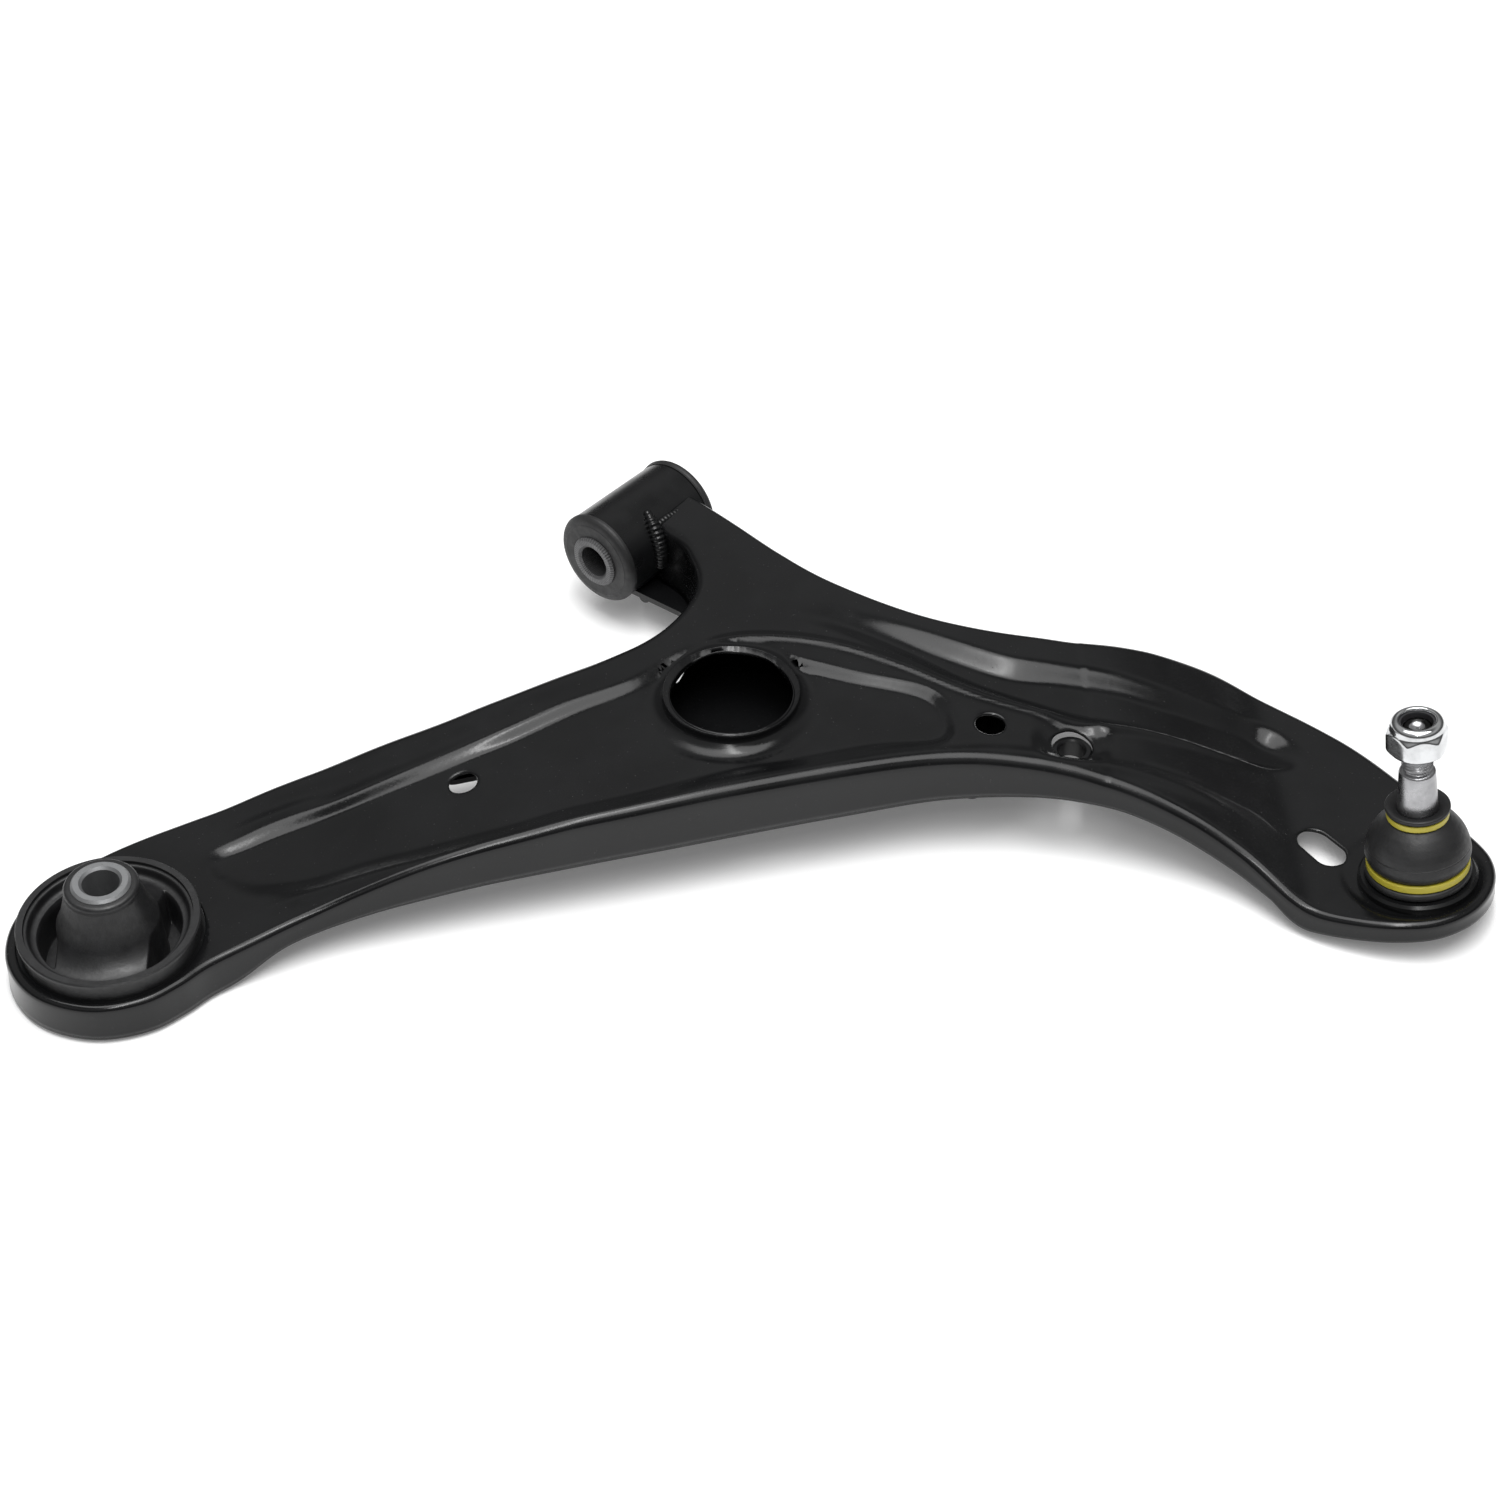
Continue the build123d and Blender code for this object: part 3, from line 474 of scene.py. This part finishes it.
def topHeight(x, y):
    # crown along the arm, plus the low ground round the ball joint, plus every pressed feature
    x, y = np.asarray(x, float), np.asarray(y, float)
    s = (x - railStart[0]) * railAlong[0] + (y - railStart[1]) * railAlong[1]
    crown = np.interp(s, stations, crownTable)
    reach = np.hypot(x - 50.5, y + 352.5)
    pad = padPlane(y) + 1.8 * smoothStep(24.5, 27.5, reach)
    low = np.where(s > 380, softMax(pad - 3 * smoothStep(34, 60, reach), np.full_like(y, -22.0), 2.0), -90.0)
    z = np.where(s > 380, softMax(crown, low, 5.0), crown)
    # the front leg falls toward the tube beyond a crease
    fold = (y + 72) - 0.12 * (x + 10) + 0.012 * (x + 10) ** 2
    z = z + np.clip(fold, 0, None) * 0.02 * smoothStep(-70, -45, x)
    z = z + recess("panel", x, y, pressing["panelDepth"], 11.0, 6.0, (0.58, 1.0)) * smoothStep(-262, -225, x)
    z = z + recess("channel", x, y, pressing["channelDepth"], 9.0, 11.0,
                   (0.0, 0.45)) * smoothStep(-85, -185, y) * smoothStep(-289, -262, y)
    z = z + ridgeAlong("crest", x, y, pressing["crestHeight"], 3.2)
    z = z + ridgeAlong("stepRim", x, y, 0.5, 4.0, 0.3)
    z = z + ridgeAlong("rib", x, y, 0.6, 3.0, 0.4)
    z = z + ridgeAlong("rail", x, y, 1.0, 8.0, 0.25)
    z = z + ridgeAlong("ridge", x, y, pressing["ridgeHeight"], 2.2, 0.08)
    z = z - ridgeAlong("crease", x, y, 0.35, 1.1, 0.15)
    # dimples round the link hole and the hub
    link = np.hypot(x - 2.6, y + 225)
    towardRim = (x - 2.6) * railAlong[1] * -1 + (y + 225) * railAlong[0]
    z = z - 3.0 * smoothStep(18, 8, link) * smoothStep(-17, -5, towardRim)
    hubGap = np.hypot(x - hub["x"], y - hub["y"])
    z = z - 0.3 * smoothStep(37, 33, hubGap)
    return z


def hemHeight(x, y):
    # lower edge of the side walls
    s = (x - railStart[0]) * railAlong[0] + (y - railStart[1]) * railAlong[1]
    z = np.interp(s, stations, hemTable)
    eyeSide = smoothStep(14, 26, y) * smoothStep(-302, -285, x)
    z = np.where(z < -21.5, z + (-21.5 - z) * eyeSide, z)
    leg = np.maximum(smoothStep(-62, -44, x) * smoothStep(-86, -68, y),
                     smoothStep(-160, -150, x) * smoothStep(-70, -60, y))
    z = np.where(z > -14.5, z + (-14.5 - z) * leg, z)
    reach = np.hypot(x - 50.5, y + 352.5)
    tip = smoothStep(56, 44, reach) * (s > 380)
    return z + (padPlane(y) - 6.1 - z) * tip


def loopAround(centre, turn, length, radius, count):
    # a stadium: half circles of the radius round both ends of the centre line
    angle = np.linspace(0, 2 * pi, count, endpoint=False)
    way = np.array([cos(radians(turn)), sin(radians(turn))])
    local = np.stack([np.cos(angle), np.sin(angle)], 1)
    shift = np.sign(local @ way) * length / 2 if length else 0 * angle
    return np.array(centre) + radius * local + shift[:, None] * way


print("pressing the shell")
rim = curveThrough([(x, y) for x, y, r in rimPoints], pressing["rimStep"])
rimCount = len(rim)
_, _, nearest = fromLine([(x, y) for x, y, r in rimPoints], rim[:, 0], rim[:, 1])
bend = np.interp(nearest * (len(rimPoints) - 1), np.arange(len(rimPoints)), [r for x, y, r in rimPoints])
tangent = np.gradient(rim, axis=0)
tangent /= np.linalg.norm(tangent, axis=1, keepdims=True)
inward = np.stack([-tangent[:, 1], tangent[:, 0]], 1)
if not within(rim, *(rim[rimCount // 2] + inward[rimCount // 2] * 3)[:, None])[0]:
    inward = -inward
edgeTop = topHeight(*(rim + inward * bend[:, None]).T)
edgeHem = hemHeight(*rim.T)
bend = np.minimum(bend, np.maximum(edgeTop - edgeHem - 1.0, 1.2))
arc = np.linspace(0, pi / 2, 10)
wall = np.linspace(0, 1, 7)[:-1]
wallZ = edgeHem[:, None] + (edgeTop - bend - edgeHem)[:, None] * wall
arcZ = (edgeTop - bend)[:, None] + bend[:, None] * np.sin(arc)
inset = np.concatenate([np.zeros((rimCount, len(wall))) + 0.6 * (1 - wall) ** 2 * -1,
                        bend[:, None] * (1 - np.cos(arc))], 1)
stripXY = rim[:, None] + inward[:, None] * inset[..., None]
stripZ = np.concatenate([wallZ, arcZ], 1)
stripWidth = stripZ.shape[1]
innerRing = stripXY[:, -1]
points = [np.concatenate([stripXY, stripZ[..., None]], 2).reshape(-1, 3)]
quads = [gridFaces(rimCount, stripWidth)]
ringIndex = [np.arange(rimCount) * stripWidth + stripWidth - 1]
total = rimCount * stripWidth

holeRings = []
# (offset from the hole's edge, how far below the top it lies) from the flat metal to the sheared edge
plainEdge = [(1.5, 0.0), (0.8, 0.12), (0.3, 0.4), (0.0, 0.9)]
for centre, turn, length, radius in holes:
    count = int(2 * pi * radius / 0.9 + 2 * length / 1.2)
    rings = [loopAround(centre, turn, length, radius + out, count) for out, drop in plainEdge]
    heights = [topHeight(*ring.T) - drop for ring, (out, drop) in zip(rings, plainEdge)]
    holeRings.append((rings, heights))
count = 170
eyeEdge = [(35.5, 0.0), (35.1, 0.15), (35.0, 0.7)]
rings = [loopAround((-295, 0), 0, 0, r, count) for r, drop in eyeEdge]
holeRings.append((rings, [topHeight(*ring.T) - drop for ring, (r, drop) in zip(rings, eyeEdge)]))
ballEdge = [(20.5, 0.0), (19.5, 0.3)]
rings = [loopAround((50.5, -355.434), 0, 0, r, 90) for r, drop in ballEdge]
holeRings.append((rings, [topHeight(*ring.T) - drop for ring, (r, drop) in zip(rings, ballEdge)]))
# hub: a moat, a fillet, then a drawn collar with a rough sheared edge
angle = np.linspace(0, 2 * pi, 200, endpoint=False)
ragged = 0.06 * np.sin(angle * 23 + 2 * np.sin(angle * 5)) * np.sin(angle * 3 + 1) + 0.03 * np.sin(angle * 61 + 1)
collar = [(33.5, 0.0, 0), (32.2, 0.12, 0), (31, 0.4, 0), (29.9, 0.85, 0), (28.9, 1.45, 0), (28.1, 2.1, 0),
          (27.4, 2.75, 0),
          (27, 3.2, 0), (27, 0.5, 1), (27, 0.8, 1), (26.85, 0.94, 1), (26.5, 1.0, 1)]
rings = [loopAround((hub["x"], hub["y"]), 0, 0, r, 200) for r, up, mode in collar]
ground = topHeight(*rings[0].T)
heights = [ground + up if mode == 0 else ground + 3.2 + (hub["top"] + ragged - ground - 3.2) * up
           for r, up, mode in collar]
holeRings.append((rings, heights))

loops = []
for rings, heights in holeRings:
    block = np.stack([np.concatenate([ring, z[:, None]], 1) for ring, z in zip(rings, heights)], 0)
    points.append(block.reshape(-1, 3))
    quads.append(gridFaces(len(rings), block.shape[1], wrapColumns=True) + total)
    ringIndex.append(np.arange(block.shape[1]) + total)
    loops.append(rings[0])
    total += block.shape[0] * block.shape[1]

step = pressing["spacing"]
gx, gy = np.meshgrid(np.arange(-340, 112, step), np.arange(-395, 45, step * 0.866))
gx = gx + (np.arange(gx.shape[0]) % 2)[:, None] * step / 2
gx, gy = gx.ravel(), gy.ravel()
endGap = np.linspace(innerRing[-1], innerRing[0], 22)[1:-1]     # across the open end of the leg
boundary = np.vstack([innerRing, endGap])
inside = within(boundary, gx, gy)
gx, gy = gx[inside], gy[inside]
clear = fromLine(boundary, gx, gy, True)[0] > step * 0.6
for loop in loops:
    clear &= ~within(loop, gx, gy) & (fromLine(loop, gx, gy, True)[0] > step * 0.6)
gx, gy = gx[clear], gy[clear]
endStart = total
points.append(np.column_stack([endGap, topHeight(*endGap.T)]))
total += len(endGap)
fieldStart = total
points.append(np.column_stack([gx, gy, topHeight(gx, gy)]))
total += len(gx)
allPoints = np.vstack(points)
members = np.concatenate([ringIndex[0], np.arange(len(endGap)) + endStart] + ringIndex[1:]
                         + [np.arange(len(gx)) + fieldStart])
sizes = [rimCount + len(endGap)] + [len(loop) for loop in loops]
starts = np.concatenate([[0], np.cumsum(sizes)[:-1]])
edges = np.vstack([np.stack([np.arange(n), (np.arange(n) + 1) % n], 1) + start
                   for n, start in zip(sizes, starts)])
flat = allPoints[members, :2]
result = delaunay_2d_cdt(flat.tolist(), edges.tolist(), [], 0, 1e-5, True)
triangles = np.array(result[2])
origin = np.array([source[0] if source else -1 for source in result[3]])
triangles = triangles[(origin[triangles] >= 0).all(1)]
triangles = origin[triangles]
middle = flat[triangles].mean(1)
keep = within(boundary, *middle.T)
for loop in loops:
    keep &= ~within(loop, *middle.T)
triangles = members[triangles[keep]]
print("shell triangles", len(triangles))


def toTube(p):
    # the end of the leg is drawn to the skin of the front tube
    p = p.copy()
    near = (p[:, 1] > -40) & (p[:, 0] > -60)
    end = -np.sqrt(np.maximum(19.6 ** 2 - p[:, 2] ** 2, 100.0))
    p[near, 1] = -40 + (p[near, 1] + 40) * ((end[near] + 40) / 30)
    return p


allPoints = toTube(allPoints)
shellFaces = np.vstack([np.vstack(quads)[:, [0, 1, 2]], np.vstack(quads)[:, [0, 2, 3]], triangles])
a, b, c = allPoints[shellFaces[:, 0]], allPoints[shellFaces[:, 1]], allPoints[shellFaces[:, 2]]
face = np.cross(b - a, c - a)
# every face of the open sheet looks up or outward from the middle of the arm
stripCount = len(quads[0])
quadAll = np.vstack(quads)
isStrip = np.zeros(len(shellFaces), bool)
isStrip[:stripCount] = isStrip[len(quadAll):len(quadAll) + stripCount] = True
rimOf = np.zeros(len(allPoints), int)
rimOf[:rimCount * stripWidth] = np.repeat(np.arange(rimCount), stripWidth)
outwardWay = np.zeros((len(shellFaces), 3))
outwardWay[:, 2] = 1.0
outwardWay[isStrip, :2] = -inward[rimOf[shellFaces[isStrip, 0]]]
hubFaces = (np.hypot(*(a[:, :2] - [hub["x"], hub["y"]]).T) < 33.6) & ~isStrip
outwardWay[hubFaces, :2] = (a[hubFaces, :2] - [hub["x"], hub["y"]]) / 20
turnOver = (face * outwardWay).sum(1) < 0
shellFaces[turnOver] = shellFaces[turnOver][:, ::-1]
armPressing = makePiece("armPressing", allPoints, shellFaces, shellCoat, "arm", outward=False)
thick = armPressing.modifiers.new("sheet", "SOLIDIFY")
thick.thickness = pressing["sheet"] * mm
thick.offset = -1
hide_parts("arm_shell")

# ---- ball joint ----
boot = {
    "lower": [(16.3, 1.7), (19.4, 1.7), (20.2, 2.5), (20.2, 4.4), (19.4, 5.1), (17.9, 5.35), (17.9, 8.85),
              (18.9, 9.3),
              (19.8, 11), (20.1, 13), (19.6, 16.0)],
    "upper": [(19.6, 16.0), (18.9, 18.4), (17.8, 20.8), (16.2, 23.2), (14.3, 25.4), (12.0, 27.4), (10.4, 28.3),
              (10.4, 31.2), (12.0, 31.7), (12.3, 32.3), (12.3, 33.3), (11.9, 33.7), (10.6, 33.6),
              (8.4, 32.6), (7.75, 32.2)],
    "wall": 1.6,
}


def bootHalf(name, outer, wallSteps):
    # outer profile rounded at its corners, then back along an inner one a wall's thickness inside
    line = softened(outer, 0.7, 4, closed=False)
    line = curveThrough(line, 0.45)
    way = np.gradient(line, axis=0)
    way /= np.linalg.norm(way, axis=1, keepdims=True)
    inner = line + np.stack([-way[:, 1], way[:, 0]], 1) * boot["wall"]
    inner[:, 0] = np.minimum(inner[:, 0], line[:, 0])
    inner[:, 0] = np.maximum(inner[:, 0], wallSteps)
    profile = np.vstack([line, inner[::-1]])
    piece = turned(name, profile, joint["centre"], studAxis, bootRubber, None, 144)
    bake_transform(piece)
    return piece


bootLower = bootHalf("bootLower", boot["lower"], 16.25)
bootUpper = bootHalf("bootUpper", boot["upper"], 7.75)
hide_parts("dust_boot")
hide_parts("dust_boot")

clipProfile = softened([(10.45, 28.5), (11.75, 28.5), (11.75, 31.1), (10.45, 31.1)], 0.45, 4)
clipPiece = turned("upperClipTurned", clipProfile, joint["centre"], studAxis, clipPaint, "boot_collar", 128)
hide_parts("boot_clip_upper")

stud = {"pitch": 1.25, "toothDepth": 0.62}
studProfile = softened([(0.01, -11.2), (5.6, -11.2), (7.2, -10.2), (9.3, -8.4), (10.8, -6.3), (11.9, -3.8),
                        (12.4, -1.2), (12.45, 1.2),
                        (11.9, 3.9), (10.7, 6.4), (9.0, 8.7), (7.0, 10.3), (5.2, 11.6), (5.1, 13.5),
                        (5.5, 20), (6.6, 24), (7.7, 28),
                        (7.7, 33), (6.85, 49.4), (6.3, 50.0), (5.2, 50.3), (5.2, 51.1), (5.9, 51.8)], 0.5,
                        4, closed=False)
threadLine = np.column_stack([np.full(190, 5.95), np.linspace(51.9, 69.2, 190)])
studTop = np.array([(5.0, 70.0), (3.2, 70.0), (2.9, 68.6), (0.01, 68.6)])


def threaded(turn, radius, height):
    # a triangle wave that climbs one pitch each turn
    phase = (height / stud["pitch"] - turn / (2 * pi)) % 1.0
    tooth = np.abs(phase - 0.5) * 2
    share = smoothStep(51.5, 52.6, height) * smoothStep(69.8, 68.8, height)
    return radius - stud["toothDepth"] * tooth * share, height


studProfile = np.vstack([studProfile, threadLine, studTop])
studPiece = turned("ballStudTurned", studProfile, joint["centre"], studAxis, studZinc, "stud", 128,
                   threaded, closed=False)
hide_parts("ball_stud")

nut = {"flats": 21.0, "corner": 11.85, "soft": 0.35, "hexTop": 69.0, "turn": 12.0}


def hexagon(turn, radius, height):
    # the hexagon's edge by angle, never beyond the radius that the chamfered profile gives
    corner = (turn - radians(nut["turn"])) % (pi / 3) - pi / 6
    side = nut["flats"] / 2 / np.cos(corner)
    side = -nut["soft"] * np.log(np.exp(-side / nut["soft"]) + np.exp(-nut["corner"] / nut["soft"]))
    hexed = (height < nut["hexTop"] + 0.3) & (radius > 8.9)
    eased = -0.1 * np.log(np.exp(-radius / 0.1) + np.exp(-side / 0.1))
    return np.where(hexed, eased, radius), height


nutOuter = np.array([(6.05, 59.5), (7.4, 59.5), (10.1, 59.5), (10.5, 59.75), (11.0, 60.1), (11.5, 60.5),
                     (12.0, 61.0)]
                    + [(12.3, h) for h in np.linspace(61.4, 66.4, 16)]
                    + [(12.0, 66.9), (11.6, 67.5), (11.1, 68.1), (10.7, 68.6), (10.4, 69.0), (10.2, 69.35),
                       (10.1, 69.7),
                       (10.05, 70.2), (10.0, 70.9), (9.8, 71.5), (9.4, 72.1), (8.8, 72.6), (8.0, 72.9),
                       (7.3, 72.95),
                       (6.9, 72.7), (6.7, 72.2), (6.65, 71.7), (6.9, 71.65), (7.3, 71.6), (7.3, 69.05),
                       (6.05, 69.0)])
nutPiece = turned("lockNutTurned", nutOuter, joint["centre"], studAxis, nutZinc, "stud", 288, hexagon)
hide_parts("lock_nut")
print("ball joint ready")

# ---- rear bush ----
rearBush = {"x": -295.0, "pocketFloor": -27.8, "pocketTurn": -50.0, "bridge": 17.5}
bellCorners = [(14.1, 7.4), (15.5, 2), (17, -3), (19.5, -8), (23, -11.5), (27, -13), (29.2, -12.4),
               (30.2, -9.4), (31.45, -9.2)]
bellTop = np.vstack([softened([(11.3, 10.8), (13.2, 10.7), (14.1, 9.6), (14.1, 8)], 0.9, 5, closed=False),
                     curveThrough(bellCorners, 0.3)])
bellProfile = np.vstack([bellTop, [(31.45, -31.9), (26.5, -31.4), (11.3, -30.8)]])


def bellPockets(turn, radius, height):
    # two blind pockets sink from the flare where it lies beyond the bridge between them
    beyond = np.abs(radius * np.cos(turn - radians(rearBush["pocketTurn"])))
    half = rearBush["bridge"]
    share = (smoothStep(19.0, 20.4, radius) * smoothStep(27.0, 25.8, radius)
             * smoothStep(half - 0.5, half + 0.9, beyond))
    return radius, np.where(height > -20, height + (rearBush["pocketFloor"] - height) * share, height)


rearBell = turned("rearBell", bellProfile, (rearBush["x"], 0, 0), (0, 0, 1), eyeRubber, None, 300, bellPockets)
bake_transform(rearBell)
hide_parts("rear_bush_rubber")
print("rear bush ready")

# ---- front eye ----
lipProfile = softened([(11.4, -26.6), (16.2, -26.75), (18.6, -26.2), (20.1, -24.9), (20.35, -23.35),
                       (17.6, -23.25), (15.95, -22.7),
                       (11.4, -22.7)], 1.2, 5)
for number, way in enumerate((-1, 1)):
    # the lip at the far end stands out a little more
    more = np.where(lipProfile[:, 1:] < -24, [0.4, -1.3], 0.0) * (way > 0)
    profile = (lipProfile + more) * [1, -way]
    turned(f"frontRubberLip{number + 1}", profile, (0, 0, 0), (1, 0, 0), bushRubber, "arm", 128)


def bead(name, path, radii, material, body, ripple=0.22, pitch=1.9):
    # a round section carried along a path, swelling and shrinking once each ripple of the weld
    line = curveThrough(path, 0.35)
    length = np.concatenate([[0], np.cumsum(np.linalg.norm(np.diff(line, axis=0), axis=1))])
    radius = np.interp(length, np.linspace(0, length[-1], len(radii)), radii)
    radius = radius * (1 + ripple * np.abs(np.sin(length / pitch * pi)) - ripple / 2)
    way = np.gradient(line, axis=0)
    way /= np.linalg.norm(way, axis=1, keepdims=True)
    first = np.cross(way, [1, 0.2, 0.1])
    first /= np.linalg.norm(first, axis=1, keepdims=True)
    second = np.cross(way, first)
    turn = np.linspace(0, 2 * pi, 24, endpoint=False)
    ring = first[:, None] * np.cos(turn)[None, :, None] + second[:, None] * np.sin(turn)[None, :, None]
    body3 = line[:, None] + ring * radius[:, None, None]
    caps = np.repeat(line[[0, -1]][:, None], 24, 1)
    surface = np.concatenate([caps[:1], body3, caps[1:]], 0)
    return makePiece(name, surface, gridFaces(surface.shape[0], 24, wrapColumns=True), material, body)


tubeAt = lambda x, turn, out=0.0: (x, -(20 + out) * sin(radians(turn)), (20 + out) * cos(radians(turn)))
eyeBead = bead("eyeBead", [tubeAt(17, 51, 0.2), tubeAt(8, 50, 0.2), tubeAt(0, 49, 0.3),
                           tubeAt(-6, 50, 0.4)], [0.8, 1.5, 1.8, 1.8],
               weldCoat, "arm")
sideBead = bead("sideBead", [tubeAt(-4.5, 28, 0.2), tubeAt(-6, 40, 0.7), tubeAt(-7.5, 60, 0.8),
                             tubeAt(-8, 82, 0.6), tubeAt(-8, 100, 0.6)],
                [1.6, 2.9, 3.1, 2.9, 2.2], weldCoat, "arm")
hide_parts("eye_weld_upper")
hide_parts("eye_weld_upper")
print("front eye ready")

# ---- finishes on the carried-over nodes ----
finishes = {
    "lower_plate": shellCoat, "front_tube": tubeCoat, "eye_weld_lower": weldCoat, "front_bush_shell": tubeCoat,
    "front_bush_rubber": bushRubber, "front_bush_sleeve": frontSleeveSteel, "rear_eye_collar": shellCoat,
    "rear_bush_ring": eyeRubber,
    "rear_bush_sleeve": rearSleeveSteel, "link_spacer": tubeCoat, "bj_housing": housingCoat,
    "bj_seat": seatPlastic,
    "bj_washer": coverSteel, "bj_cover": coverSteel, "nut_insert": insertNylon, "boot_clip_lower": clipPaint,
}
for name, material in finishes.items():
    mesh = nodes[name].data
    mesh.materials.clear()
    mesh.materials.append(material)

# ---- floor and light ----
stageSetup = {"floor": -33.5, "size": 4.0, "glow": 0.14}
floorMesh = bpy.data.meshes.new("studioFloor")
size = stageSetup["size"]
floorMesh.from_pydata([(-size, -size, stageSetup["floor"] * mm), (size, -size, stageSetup["floor"] * mm),
                       (size, size, stageSetup["floor"] * mm), (-size, size, stageSetup["floor"] * mm)], [],
                       [(0, 1, 2, 3)])
floor = bpy.data.objects.new("studioFloor", floorMesh)
paper = Finish("studioPaper", Roughness=0.9, IOR=1.2)
paper.shader.inputs["Emission Strength"].default_value = stageSetup["glow"]
paper.shader.inputs["Emission Color"].default_value = (1, 1, 1, 1)
floorMesh.materials.append(paper.feed(Base_Color=paper.mix(paper.noise(3, 2), (0.88, 0.88, 0.88),
                                                           (0.90, 0.90, 0.90))))
bpy.context.scene.collection.objects.link(floor)

world = bpy.data.worlds.new("studioSky")
world.use_nodes = True
# the room is brightest half way up and darker near the horizon and overhead
skyBands = [(0.0, 0.10), (0.38, 0.12), (0.60, 0.46), (0.74, 0.40), (0.90, 0.10)]
sky = world.node_tree
upward = sky.nodes.new("ShaderNodeSeparateXYZ")
bands = sky.nodes.new("ShaderNodeValToRGB")
sky.links.new(sky.nodes.new("ShaderNodeTexCoord").outputs["Generated"], upward.inputs[0])
sky.links.new(upward.outputs["Z"], bands.inputs[0])
while len(bands.color_ramp.elements) < len(skyBands):
    bands.color_ramp.elements.new(0.5)
for stop, (height, value) in zip(bands.color_ramp.elements, skyBands):
    stop.position, stop.color = height, (value, value, value, 1)
sky.links.new(bands.outputs[0], sky.nodes["Background"].inputs[0])
bpy.context.scene.world = world


def softBox(name, at, toward, width, height, power):
    light = bpy.data.lights.new(name, "AREA")
    light.shape = "RECTANGLE"
    light.size, light.size_y, light.energy = width, height, power
    lamp = bpy.data.objects.new(name, light)
    lamp.location = at
    lamp.rotation_euler = (Vector(toward) - Vector(at)).to_track_quat("-Z", "Y").to_euler()
    bpy.context.scene.collection.objects.link(lamp)


softBox("overheadBox", (-0.15, -0.15, 1.9), (-0.1, -0.15, 0), 2.2, 1.4, 40)
softBox("overheadStrip", (-0.55, -0.45, 1.7), (-0.1, -0.15, 0), 0.16, 1.6, 14)
print("stage ready")
